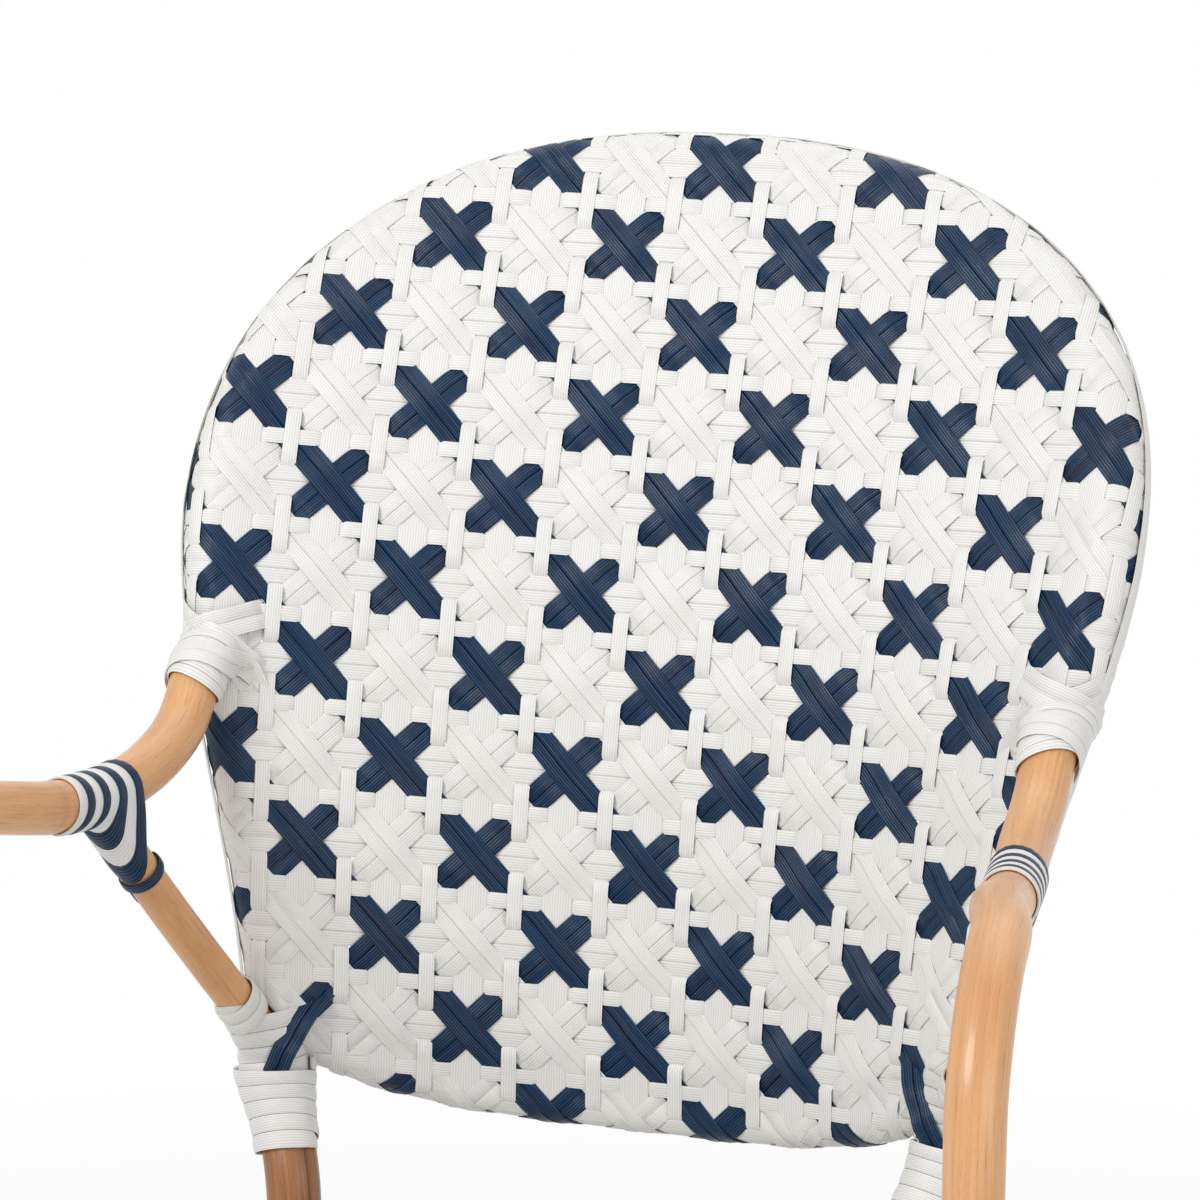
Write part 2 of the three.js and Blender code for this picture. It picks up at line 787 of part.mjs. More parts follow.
for (const [name, route] of Object.entries(archRoutes)) {
  const top = route.getPoint(archScrewShare);
  const length = archRadius - screwRecess + archRadius + clearance + seatRim;
  screws.push(screwInto(`arch_screw_${name}`, top, new THREE.Vector3(0, 0, 1), archRadius, length));
}
const bores = Object.fromEntries(screws.map((screw) => [screw.name, boreBody(screw)]));
const boresOf = (...starts) => Object.entries(bores)
  .filter(([name]) => starts.some((start) => name.startsWith(start))).map(([, body]) => body);

// Stretchers
function sideStretcherRoute(side) {
  const [rear, front] = [backStation(side, stretcherHeight), frontLegStation(side, stretcherHeight)];
  return new Route([rear.point, front.point]);
}
const sideStretchers = { 1: sideStretcherRoute(1), [-1]: sideStretcherRoute(-1) };
const crossStretcher = new Route([sideStretchers[-1].getPoint(0.5), sideStretchers[1].getPoint(0.5)]);

// Bodies that cut their neighbours
const backGrown = grown(backRoute, backPoleRadius);
const armGrown = { 1: grown(armRoutes[1], armPoleRadius), [-1]: grown(armRoutes[-1], armPoleRadius) };
const strutGrown = {
  1: grown(strutRoutes[1], strutRadius, thinSides),
  [-1]: grown(strutRoutes[-1], strutRadius, thinSides),
};
const panelGrown = panelBody(clearance);
const seatGrown = union([
  seatSlab(clearance),
  closedRing(grownRadius(seatRim, seatRingSides), seatRingSides),
]);
// The ring pole and its two halves here differ in twist, so this section clears its corners too
const ringGrown = closedRing(
  (seatRingRadius + clearance) / Math.cos(Math.PI / seatRingSides), seatRingSides,
);
const archGrown = Object.fromEntries(
  Object.entries(archRoutes).map(([name, route]) => [name, grown(route, archRadius, thinSides)]),
);
const railsGrown = Object.values(railRoutes).map((route) => grown(route, seatRailRadius, thinSides));
const sideStretcherGrown = {
  1: grown(sideStretchers[1], stretcherRadius, thinSides),
  [-1]: grown(sideStretchers[-1], stretcherRadius, thinSides),
};

// Glides, pushed into the feet from below
const glideProfile = [
  [0, 0], [glideRadius, 0], [glideRadius, glideThickness - clearance],
  [glideStemRadius, glideThickness - clearance],
  [glideStemRadius, glideThickness + glideStemLength], [0, glideThickness + glideStemLength],
];
const glideBore = (at) => {
  const wide = (glideStemRadius + clearance) / Math.cos(Math.PI / smallSides);
  return solid(revolve([
    [0, 0], [wide, 0], [wide, glideThickness + glideStemLength + clearance],
    [0, glideThickness + glideStemLength + clearance],
  ], smallSides).rotateX(Math.PI / 2).translate(at.x, at.y, 0));
};
const feet = {};
for (const [name, side] of Object.entries(sides)) {
  feet[`front_${name}`] = new THREE.Vector3(side * frontLegHalfWidth, frontLegBack, 0);
  feet[`rear_${name}`] = new THREE.Vector3(side * rearFootHalfWidth, rearFootBack, 0);
}
const floorCut = solid(new THREE.BoxGeometry(
  4 * frontLegHalfWidth, 4 * rearFootBack, 4 * glideThickness,
).translate(0, 0, -glideThickness));

// Assembly
addPart('back_frame_pole', cut(pole(backRoute, backPoleRadius), [
  floorCut, glideBore(feet.rear_left), glideBore(feet.rear_right),
  ...boresOf('seat_screw_rear', 'arm_screw', 'strut_screw'),
]), brownRattan);
addPart('back_bottom_rail', cut(pole(bottomRoute, bottomRailRadius, thinSides), [backGrown]),
  brownRattan);
addPart('back_weave_panel', cut(panelBody(0), [
  backGrown, grown(bottomRoute, bottomRailRadius, thinSides), ...boresOf('arm_screw', 'strut_screw'),
]), whiteStrand);

for (const [name, side] of Object.entries(sides)) {
  const [arm, strut] = [armRoutes[side], strutRoutes[side]];
  addPart(`arm_pole_${name}`, cut(pole(arm, armPoleRadius), [
    panelGrown, glideBore(feet[`front_${name}`]),
    ...boresOf(`seat_screw_front_${name}`, `arm_screw_${name}`),
  ]), honeyRattan);
  addPart(`arm_strut_${name}`, cut(pole(strut, strutRadius, thinSides), [
    armGrown[side], backGrown, panelGrown, ...boresOf(`strut_screw_${name}`),
  ]), honeyRattan);

  const armRim = armPoleRadius + clearance + bindingSkin;
  const strutRim = strutRadius + clearance + bindingSkin;
  const backRim = backPoleRadius + clearance + bindingSkin;
  const joint = armStation(side, armJointBack);
  addPart(`arm_joint_binding_${name}`, binding([
    ringAround(armStation(side, armJointBack - stripeFront), armRim),
    ringAround(joint, armRim),
    ringAround(armStation(side, armJointBack + stripeRear), armRim),
    ringAround(stationWhere(strut, 'z', armJointHeight - stripeDrop, 0, 1), strutRim),
  ], [armGrown[side], strutGrown[side]]), navyStrand);
  const root = hoopStation(side, armRootHeight);
  addPart(`arm_hoop_binding_${name}`, binding([
    ringAround(moved(root, hoopBindingHalfWidth), hoopRim + clearance + bindingSkin),
    ringAround(moved(root, -hoopBindingHalfWidth), hoopRim + clearance + bindingSkin),
    ringAround(stationAtLength(arm, hoopBindingReach), armRim),
  ], [panelGrown, armGrown[side], ...boresOf(`arm_screw_${name}`)]), whiteStrand);
  const waist = backStation(side, strutFootHeight);
  const waistCuff = binding([
    ringAround(waist, backRim),
    ringAround(backStation(side, strutFootHeight - waistCuffLength), backRim),
  ], []);
  addPart(`waist_binding_${name}`, largest(cut(waistCuff.add(binding([
    ringAround(moved(waist, waistBindingTop), backRim),
    ringAround(moved(waist, -waistBindingTop), backRim),
    ringAround(stationAtLength(strut, strut.getLength() - waistStrutReach), strutRim),
  ], [])), [
    backGrown, strutGrown[side], panelGrown, ...boresOf(`strut_screw_${name}`),
  ])), whiteStrand);
}

addPart('seat_ring_pole', cut(pole(ringRoute, seatRingRadius, seatRingSides),
  boresOf('seat_screw', 'arch_screw')), brownRattan);
for (const [name, route] of Object.entries(railRoutes)) {
  addPart(`seat_rail_${name}`, cut(pole(route, seatRailRadius, thinSides), [ringGrown]), brownRattan);
}
addPart('seat_weave', cut(seatSlab(0).add(closedRing(seatRim, seatRingSides)), [
  ringGrown, ...railsGrown, ...boresOf('seat_screw', 'arch_screw'),
]), whiteStrand);

for (const [name, route] of Object.entries(archRoutes)) {
  addPart(`seat_arch_${name}`, cut(pole(route, archRadius, thinSides), [
    ...boresOf(`arch_screw_${name}`), backGrown, armGrown[1], armGrown[-1],
  ]), honeyRattan);
}
for (const [name, contact] of Object.entries(contacts)) {
  const { side, leg, way, reach, radius } = contact;
  const atFront = name.startsWith('front');
  const legGrown = atFront ? armGrown[side] : backGrown;
  const ring = {
    point: leg.point.clone().addScaledVector(way, reach),
    tangent: new THREE.Vector3(-way.y, way.x, 0),
  };
  const seatBindingRim = seatRim + clearance + bindingSkin;
  addPart(`seat_binding_${name}`, binding([
    ringAround(moved(leg, cornerBindingHalfWidth), radius + clearance + bindingSkin),
    ringAround(moved(leg, -cornerBindingHalfWidth), radius + clearance + bindingSkin),
    ringAround(moved(ring, cornerBindingHalfWidth), seatBindingRim),
    ringAround(moved(ring, -cornerBindingHalfWidth), seatBindingRim),
  ], [legGrown, seatGrown, ...boresOf(`seat_screw_${name}`)]), whiteStrand);

  const legAt = (z) => (atFront ? frontLegStation(side, z) : backStation(side, z));
  const lashed = legAt(lashingHeight);
  const sideName = side > 0 ? 'left' : 'right';
  const across = atFront ? archRoutes.front : archRoutes.rear;
  const [from, to] = side > 0 ? [1, 0.5] : [0, 0.5];
  const acrossStation = stationWhere(across, 'z', lashed.point.z, from, to);
  const sideFrom = atFront ? 1 : 0;
  const sideStation = stationWhere(archRoutes[sideName], 'z', lashed.point.z, sideFrom, 0.5);
  const archRim = archRadius + clearance + bindingSkin;
  const levelRings = (station, rim) => [-1, 1].flatMap((end) => ringAround({
    point: station.point.clone().add(new THREE.Vector3(0, 0, end * lashingHalfWidth)),
    tangent: new THREE.Vector3(0, 0, 1),
  }, rim));
  addPart(`leg_lashing_${name}`, binding([
    levelRings(lashed, radius + clearance + bindingSkin),
    levelRings(acrossStation, archRim),
    levelRings(sideStation, archRim),
  ], [legGrown, atFront ? archGrown.front : archGrown.rear, archGrown[sideName]]), whiteStrand);

  const stretcher = sideStretchers[side];
  const branchLength = atFront ? stretcher.getLength() - teeReach : teeReach;
  const tee = legAt(stretcherHeight);
  addPart(`stretcher_binding_${name}`, binding([
    ringAround(moved(tee, teeHalfWidth), radius + clearance + bindingSkin),
    ringAround(moved(tee, -teeHalfWidth), radius + clearance + bindingSkin),
    ringAround(stationAtLength(stretcher, branchLength), stretcherRadius + clearance + bindingSkin),
  ], [legGrown, sideStretcherGrown[side]]), whiteStrand);
}

for (const [name, side] of Object.entries(sides)) {
  addPart(`side_stretcher_${name}`, cut(pole(sideStretchers[side], stretcherRadius, thinSides),
    [backGrown, armGrown[side]]), honeyRattan);
  const main = sideStretchers[side];
  const middle = { point: main.getPoint(0.5), tangent: main.getTangent(0.5) };
  const rim = stretcherRadius + clearance + bindingSkin;
  const branchLength = side > 0 ? crossStretcher.getLength() - teeReach : teeReach;
  addPart(`cross_binding_${name}`, binding([
    ringAround(moved(middle, teeHalfWidth), rim), ringAround(moved(middle, -teeHalfWidth), rim),
    ringAround(stationAtLength(crossStretcher, branchLength), rim),
  ], [sideStretcherGrown[side], grown(crossStretcher, stretcherRadius, thinSides)]), whiteStrand);
}
addPart('cross_stretcher', cut(pole(crossStretcher, stretcherRadius, thinSides),
  Object.values(sideStretcherGrown)), honeyRattan);

for (const screw of screws) addPlaced(screw.name, screwGeometry(screw.length), screw.place, steel);
for (const [name, at] of Object.entries(feet)) {
  const place = new THREE.Matrix4().makeRotationX(Math.PI / 2).setPosition(at);
  addPlaced(`foot_glide_${name}`, revolve(glideProfile, thinSides), place, nylon);
}

// The origin is on the floor, below the middle of the chair's box
const box = new THREE.Box3().setFromObject(chair);
chair.position.set(-(box.min.x + box.max.x) / 2, -(box.min.y + box.max.y) / 2, 0);

export default chair;
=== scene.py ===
"""Rattan bistro armchair with a woven back: strands, poles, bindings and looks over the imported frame.

Lengths are in millimetres in the chair's own coordinates, +Z up and the front towards -Y, until a mesh is
made. The sizes that place a piece on its CAD node repeat those of the part.
"""

import math
from types import SimpleNamespace

import bpy
import numpy as np
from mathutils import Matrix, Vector
from mathutils.kdtree import KDTree


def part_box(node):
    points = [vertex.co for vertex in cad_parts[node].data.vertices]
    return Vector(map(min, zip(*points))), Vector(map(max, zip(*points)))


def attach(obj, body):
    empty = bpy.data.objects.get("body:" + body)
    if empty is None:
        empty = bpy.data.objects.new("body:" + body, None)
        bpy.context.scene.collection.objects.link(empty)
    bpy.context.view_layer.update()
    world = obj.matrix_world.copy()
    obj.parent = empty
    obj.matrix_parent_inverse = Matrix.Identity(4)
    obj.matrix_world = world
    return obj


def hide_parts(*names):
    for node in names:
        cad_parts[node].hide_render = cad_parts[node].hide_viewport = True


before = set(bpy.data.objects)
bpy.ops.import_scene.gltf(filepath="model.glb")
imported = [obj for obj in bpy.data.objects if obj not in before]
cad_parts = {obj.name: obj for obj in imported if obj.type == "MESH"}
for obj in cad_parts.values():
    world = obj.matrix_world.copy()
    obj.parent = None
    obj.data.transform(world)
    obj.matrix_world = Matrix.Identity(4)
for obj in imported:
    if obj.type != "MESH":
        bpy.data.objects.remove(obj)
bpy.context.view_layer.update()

MM = 0.001
rng = np.random.default_rng(7)
SIDES = {"left": 1, "right": -1}

# Poles
BACK_POLE = 12.0
ARM_POLE = 11.0
STRUT = 8.5
BOTTOM_RAIL = 9.0
RING_POLE = 12.0
SEAT_RAIL = 8.0
ARCH = 9.0
STRETCHER = 9.0
CLEARANCE = 0.3
WRAP_SKIN = 2.4
SHEET_THICKNESS = 4.0
SHEET_INSET = 0.6
POLE_RIM = BACK_POLE + CLEARANCE + WRAP_SKIN
POLE_DEPTH = POLE_RIM - SHEET_INSET - SHEET_THICKNESS / 2
TUBE_STEP = 5.0
TUBE_SIDES = 22
ROUND_END = 1.4
KNOT_SPACING = 190.0
KNOT_HALF = 2.2
KNOT_SWELL = 0.02
POLE_WAVER = 0.006

# Seat: the back and the arms rise from its height
SEAT_HEIGHT = 440.0
SEAT_TILT = math.radians(2)
SEAT_CORNER = 60.0
SEAT_CORNER_ANGLE = math.radians(32)
SEAT_RAIL_PLACES = {"front": -80.0, "rear": 40.0}

# Back sheet: a reclined saddle
PANEL_RISE = 265.0
PANEL_BACK = 195.0
RECLINE = math.radians(16.6)
BOW_RADIUS = 373.0
BOW_FADE = 284.0
SWEEP_RADIUS = 906.0

# Outline of the hoop and of the lower rail
HOOP_HALF = 200.0
SHOULDER = 50.0
CROWN_RISE = 172.0
CROWN_POWER = 2.3
WAIST_INSET = 45.0
WAIST_DROP = 253.0
FLANK_POWER = 1.6
RAIL_DROP = 206.0
RAIL_LIFT = 29.0
RAIL_POWER = 3

# Rear legs
WAIST_HALF = 136.5
WAIST_BACK = 97.0
WAIST_REACH = 25.0
WAIST_SHARES = (2.2, 1, -1, -2)
LEG_SHARES = (0.25, 0.5, 0.75)
REAR_FOOT = (172.0, 205.0)
REAR_LEG_POWER = 1.6
GLIDE_THICKNESS = 5.0

# Arms
ARM_ROOT_V = -6.0
ARM_TUCK = 4.0
ARM_JOINT = np.array([193.0, 43.0, SEAT_HEIGHT + 227.5])
ARM_CREST = SEAT_HEIGHT + 263
ARM_BEND = 62.0
FRONT_LEG = (231.0, -195.0)
LEG_SETTLE = 30.0
ARM_REAR_SHARES = ((0.263, 0.314, 0.53), (0.444, 0.714, 0.78), (0.689, 0.921, 0.73))
ARM_FRONT_SHARES = ((0.15, 0.18, 0.14), (0.3, 0.35, 0.45), (0.55, 0.54, 0.82), (0.8, 0.708, 1))
ARM_BEND_SHARES = ((0.25, 0.9), (0.5, 0.95), (0.75, 0.98), (1, 1))
STRUT_REACH = 18.0
STRUT_FOOT_DROP = 15.87
STRUT_BOW = 1.5

# Arches and stretchers
ARCH_FOOT = 205.0
ARCH_HOLD = 70.0
ARCH_BEND = 95.0
ARCH_HOLD_SHARES = (0, 0.5, 1)
REAR_ARCH_SPREAD = math.radians(28)
SIDE_ARCH_SHARES = (0.28, 0.54, 0.8)
REAR_ARCH_SHARES = (0.75, 0.66)
SIDE_REAR_SHARES = (0.3, 1)
SIDE_FRONT_SHARES = (0.64, 0.77)
STRETCHER_HEIGHT = 150.0
LASHING_HEIGHT = 230.0

# Weave: cell size, strand widths and the height of one layer
CELL = 38.36
CELL_STRETCH = 1.019
CELL_SPREAD = 1.196e-4
WEAVE_LEAN = 0.008
WEAVE_START = (1.0, 1.5)
NARROW = 6.7
PAIR = 12.8
CROSS = 12.8
STRAND = 0.85
LAYER = 0.88
MIDDLE_LAYER = 1.5
HEIGHT_DRIFT = 0.05
SIDE_DRIFT = 0.16
WRAP_SQUEEZE = 0.6
WRAP_TURN = 1.12 * math.pi
HIDDEN_TURN = 1.1 * math.pi
RIB_PITCH = 1.15
GRAIN_SEED = 900
# Where a strand is sampled, as shares of a cell from its middle: a straight one and a diagonal one
STRAIGHT_STOPS = (0, 0.085, 0.15, 0.185, 0.24, 0.34, 0.5)
CROSS_STOPS = (0, 0.06, 0.12, 0.19, 0.255, 0.29, 0.35, 0.42, 0.5)
# Cross-sections of a strand: shares of half the width across, and of the thickness up
FLAT = np.array([(-1, 0.1), (-0.62, 0.42), (0, 0.5), (0.62, 0.42), (1, 0.1), (0.86, -0.5), (-0.86, -0.5)])
CREASED = np.array([(-1, 0.12), (-0.84, 0.44), (-0.06, 0.5), (0, -0.25), (0.06, 0.5), (0.84, 0.44),
                    (1, 0.12), (0.93, -0.5), (-0.93, -0.5)])
# Straight strands: kind, place in the cell, top layer, rise from the cell's middle, section and width
STRAIGHT_FAMILIES = (
    ("upright", 0.5, 2.5, (5.9, 8.8), FLAT, NARROW),
    ("level", 0.5, 1.7, (5.9, 8.4), FLAT, NARROW),
    ("upright", 0.0, 1.0, (-2, -1), FLAT, PAIR),
    ("level", 0.0, 1.0, (7, 12.5), CREASED, PAIR),
)
# Diagonal strands: way, top layer at the cell's middle and where they drop from it by two layers
DIAGONAL_FAMILIES = ((1, 3, (2, 18)), (-1, 2, (13.5, 18.5)))
CROSS_DROP = 2
# The columns and rows of each sheet's grid, and the back's navy diagonals that are laid in white
BACK_GRID = ((-6.8, 6.8), (-6.8, 7.4))
SEAT_GRID = ((-7.2, 7.2), (-6.4, 6.4))
PLAIN_DIAGONALS = ((1, -8), (-1, 8))
# The lowest place of the hoop's line, and how far that of the rail goes on past its ends
HOOP_END = -232
RAIL_PAST = 25

# Bindings: the cover of a wound ribbon's pitch, its thickness, its usual width and the points of a loop
FILL = 0.97
RIBBON_THICKNESS = 1.1
RIBBON = 5.8
LOOP = 64
UP = np.array([0.0, 0.0, 1.0])
SIDEWAYS = np.array([1.0, 0.0, 0.0])
BINDING_HALF = 15
TEE_HALF = 12.0
TEE_START = 6.0
TEE_REACH = 29.0
ROOT_REACH = 43.0
COLLARS = ((-25, -13), (13, 25))
JOINT_SPAN = (-46, 10)
JOINT_DROP = 42.0
JOINT_BANDS = 5
# The two strands over the arm's root, a falling one and a rising one: their ends on the sheet beside it
ROOT_STRANDS = (((-20, -22), (34, 10)), ((-20, 8), (34, -14)))
# The navy strip at the waist: places on the back's grid and depths, before it goes over the joint
WAIST_STRIP = ((3.55, 1.6), (3.66, 1.4), (3.74, 0.9), (3.82, -1.0), (3.92, -4.0), (4.04, -6.2))
WAIST_EDGE = 4.12
WAIST_FLARE = 2.8
# Stretches of the rear post: up from the strut's foot for the joint, and down from it for the cuff
WAIST_SPAN = (-15, 25)
WAIST_SWELL = 4.5
CUFF_SPAN = (2, 45)


def unit(vectors):
    return vectors / np.linalg.norm(vectors, axis=-1, keepdims=True)


def dot(a, b):
    return np.sum(a * b, axis=-1)


def square_to(axis, vector):
    """The direction of a vector, made square to an axis."""
    return unit(vector - axis * dot(vector, axis)[..., None])


def smoothstep(low, high, x):
    t = np.clip((x - low) / (high - low), 0, 1)
    return t * t * (3 - 2 * t)


def running(line):
    """The length along a line up to each of its points."""
    return np.append(0, np.cumsum(np.linalg.norm(np.diff(line, axis=0), axis=1)))


def taken(at, lengths, values):
    return np.stack([np.interp(at, lengths, column) for column in values.T], -1)


def evenly(line, spacing):
    """A line as points at an even spacing."""
    line = line[np.append(True, np.diff(running(line)) > 1e-6)]
    lengths = running(line)
    count = max(2, round(lengths[-1] / spacing))
    return taken(np.linspace(0, lengths[-1], count + 1), lengths, line)


def circle(e1, e2, count=LOOP):
    angle = np.linspace(0, 2 * math.pi, count, endpoint=False)
    return np.cos(angle)[:, None] * e1 + np.sin(angle)[:, None] * e2


def leftward(direction):
    return np.stack([-direction[:, 1], direction[:, 0]], -1)


def side_of(line):
    """The direction to the left of a line in a plan, at each of its points."""
    return leftward(unit(np.gradient(line, axis=0)))


# The chair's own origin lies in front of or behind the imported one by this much
glide_low, glide_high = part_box("foot_glide_rear_left")
SHIFT = np.array([0.0, (glide_low[1] + glide_high[1]) / 2 / MM - REAR_FOOT[1], 0.0])


class Route:
    """A centripetal Catmull-Rom curve through its points, as close samples with lengths and tangents."""

    def __init__(self, points, step=3.0):
        points = np.asarray(points, float)
        padded = np.vstack([2 * points[0] - points[1], points, 2 * points[-1] - points[-2]])
        samples, parameters = [], []
        for k in range(len(points) - 1):
            a, b, c, d = padded[k:k + 4]
            before, here, after = (np.linalg.norm(q - p) ** 0.5 for p, q in ((a, b), (b, c), (c, d)))
            start = ((b - a) / before - (c - a) / (before + here) + (c - b) / here) * here
            end = ((c - b) / here - (d - b) / (here + after) + (d - c) / after) * here
            count = max(2, math.ceil(np.linalg.norm(c - b) / step))
            t = (np.arange(count) / count)[:, None]
            samples.append(b + start * t + (3 * (c - b) - 2 * start - end) * t ** 2
                           + (2 * (b - c) + start + end) * t ** 3)
            parameters.append(k + t[:, 0])
        self.points = np.vstack([*samples, points[-1:]])
        self.parameters = np.append(np.concatenate(parameters), len(points) - 1) / (len(points) - 1)
        self.lengths = running(self.points)
        self.tangents = unit(np.gradient(self.points, self.lengths, axis=0))
        self.length = self.lengths[-1]

    def at(self, length):
        """The points and tangents at lengths along the route."""
        return taken(length, self.lengths, self.points), unit(taken(length, self.lengths, self.tangents))

    def where(self, axis, value, low=0.0, high=1.0):
        """The length at which a coordinate passes a value, between two parameters."""
        inside = (self.parameters >= low - 1e-9) & (self.parameters <= high + 1e-9)
        values, lengths = self.points[inside, axis], self.lengths[inside]
        if values[0] > values[-1]:
            values, lengths = values[::-1], lengths[::-1]
        return float(np.interp(value, values, lengths))

    def middle(self):
        return self.at(self.length / 2)

    def half(self, last):
        """One half of the route, for a plane that would also cut the other one."""
        middle = len(self.points) // 2
        chosen = slice(middle, None) if last else slice(0, middle)
        return SimpleNamespace(points=self.points[chosen], tangents=self.tangents[chosen])


# Back sheet and hoop
def sheet_point(u, v):
    half = u * (1 - v / BOW_FADE) / BOW_RADIUS / 2
    ease = np.sinc(half / math.pi)
    sweep = v / SWEEP_RADIUS
    x = u * ease * np.cos(half)
    y = SWEEP_RADIUS * (1 - np.cos(sweep)) - u * ease * np.sin(half)
    z = SWEEP_RADIUS * np.sin(sweep)
    cos, sin = math.cos(RECLINE), math.sin(RECLINE)
    return np.stack([x, y * cos + z * sin + PANEL_BACK, z * cos - y * sin + SEAT_HEIGHT + PANEL_RISE], -1)


def panel_point(u, v, depth):
    u, v = np.asarray(u, float), np.asarray(v, float)
    across = sheet_point(u + 0.5, v) - sheet_point(u - 0.5, v)
    along = sheet_point(u, v + 0.5) - sheet_point(u, v - 0.5)
    normal = unit(np.cross(along, across))
    return sheet_point(u, v) + normal * np.asarray(depth, float)[..., None]


def flank_u(v):
    share = np.clip((SHOULDER - v) / WAIST_DROP, 0, None)
    return HOOP_HALF - WAIST_INSET * np.sin(math.pi / 2 * share) ** FLANK_POWER


RAIL_REACH = float(flank_u(-RAIL_DROP + RAIL_LIFT))


def rail_v(u):
    return -RAIL_DROP + RAIL_LIFT * (np.abs(u) / RAIL_REACH) ** RAIL_POWER


def hoop_half(lowest, crown, flank):
    angle = np.linspace(0, math.pi / 2, crown + 1)
    power = 2 / CROWN_POWER
    u = HOOP_HALF * np.sin(angle) ** power
    v = SHOULDER + CROWN_RISE * np.clip(np.cos(angle), 0, None) ** power
    lower = np.linspace(SHOULDER, lowest, flank + 1)[1:]
    return np.concatenate([u, flank_u(lower)]), np.concatenate([v, lower])


# Seat plan
def seat_point(x, y, z=0.0):
    x, y, z = np.broadcast_arrays(np.asarray(x, float), y, z)
    cos, sin = math.cos(SEAT_TILT), math.sin(SEAT_TILT)
    return np.stack([x, y * cos + z * sin, z * cos - y * sin + SEAT_HEIGHT - POLE_RIM], -1)


def seat_sheet(x, y, depth):
    return seat_point(x, y, POLE_DEPTH - np.asarray(depth, float))


def on_circle(centre, radius, angle):
    return np.stack([centre[0] + radius * np.cos(angle), centre[1] + radius * np.sin(angle)], -1)


FRONT_TO_RING = ARM_POLE + CLEARANCE + POLE_RIM
REAR_TO_RING = BACK_POLE + CLEARANCE + POLE_RIM
TO_CORNER = np.array([-math.cos(SEAT_CORNER_ANGLE), math.sin(SEAT_CORNER_ANGLE)])
CORNER_CENTRE = FRONT_LEG + (SEAT_CORNER + FRONT_TO_RING) * TO_CORNER
REAR_CONTACT = np.array([WAIST_HALF, WAIST_BACK])
REAR_RADIUS = float(np.linalg.norm(REAR_CONTACT)) - REAR_TO_RING
BELT_ANGLE = math.atan2(CORNER_CENTRE[1], CORNER_CENTRE[0]) \
    + math.acos((REAR_RADIUS - SEAT_CORNER) / np.linalg.norm(CORNER_CENTRE))
FRONT_LINE = CORNER_CENTRE[1] - SEAT_CORNER
SIDE_START = on_circle((0, 0), REAR_RADIUS, BELT_ANGLE)
SIDE_END = on_circle(CORNER_CENTRE, SEAT_CORNER, BELT_ANGLE)


def ring_plan(spacing):
    """The plan of the whole seat ring, from the middle of the rear clockwise, at an even spacing."""
    rear = on_circle((0, 0), REAR_RADIUS, np.linspace(math.pi / 2, BELT_ANGLE, 60))
    corner = on_circle(CORNER_CENTRE, SEAT_CORNER, np.linspace(BELT_ANGLE, -math.pi / 2, 60))
    half = np.vstack([rear, corner, [[0, FRONT_LINE]]])
    return evenly(np.vstack([half, half[-2:0:-1] * [-1, 1], half[:1]]), spacing)


# Routes of the poles
RING_AT_WAIST = float(seat_point(0, WAIST_BACK)[2])
LEG_TOP = RING_AT_WAIST - 2 * WAIST_REACH


def rear_leg_point(height):
    share = ((LEG_TOP - height) / LEG_TOP) ** REAR_LEG_POWER
    x, y = REAR_CONTACT + (REAR_FOOT - REAR_CONTACT) * share
    return np.array([x, y, height])


def back_route():
    u, v = hoop_half(SHOULDER - WAIST_DROP, 8, 4)
    points = list(panel_point(u, v, np.full(len(u), POLE_DEPTH)))
    points += [np.array([*REAR_CONTACT, RING_AT_WAIST + WAIST_REACH * share]) for share in WAIST_SHARES]
    points += [rear_leg_point(LEG_TOP * (1 - share)) for share in LEG_SHARES]
    points.append(rear_leg_point(GLIDE_THICKNESS))
    half = np.array(points)
    return Route(np.vstack([half[1:][::-1] * [-1, 1, 1], half]))


def arm_route(side):
    root = panel_point(flank_u(ARM_ROOT_V), ARM_ROOT_V, POLE_DEPTH)
    joint = ARM_JOINT
    foot = np.array([*FRONT_LEG, GLIDE_THICKNESS])
    crest = np.array([*FRONT_LEG, ARM_CREST])
    points = [root]
    points += [root + (joint - root) * [back, back, drop] - [ARM_TUCK * tuck, 0, 0]
               for back, drop, tuck in ARM_REAR_SHARES]
    points.append(joint)
    points += [joint + (crest - joint) * shares for shares in ARM_FRONT_SHARES]
    for turn, out in ARM_BEND_SHARES:
        angle = math.pi / 2 * turn
        points.append(np.array([joint[0] + (foot[0] - joint[0]) * out,
                                foot[1] + ARM_BEND * (1 - math.sin(angle)),
                                ARM_CREST - ARM_BEND * (1 - math.cos(angle))]))
    points += [crest - [0, 0, ARM_BEND + share * LEG_SETTLE] for share in (1, 2)]
    points.append(foot)
    return Route(np.array(points) * [side, 1, 1])


def both_sides(make):
    return {side: make(side) for side in SIDES.values()}


BACK = back_route()
ARMS = both_sides(arm_route)
ARM_STRETCHES = len(ARM_REAR_SHARES) + 1 + len(ARM_FRONT_SHARES) + len(ARM_BEND_SHARES) + 3
ARM_CREST_SHARE = (len(ARM_REAR_SHARES) + 1 + len(ARM_FRONT_SHARES)) / ARM_STRETCHES
ARM_LEG_SHARE = (ARM_STRETCHES - 3) / ARM_STRETCHES


def arm_length(side, y):
    return ARMS[side].where(1, y, 0, ARM_CREST_SHARE)


def leg_pole(side, at_front):
    """The route of a leg and its radius."""
    return (ARMS[side], ARM_POLE) if at_front else (BACK, BACK_POLE)


def leg_length(side, at_front, height):
    """The length along its route at which a leg passes a height."""
    if at_front:
        return ARMS[side].where(2, height, ARM_LEG_SHARE, 1)
    return BACK.where(2, height, 0.5, 1) if side > 0 else BACK.where(2, height, 0, 0.5)


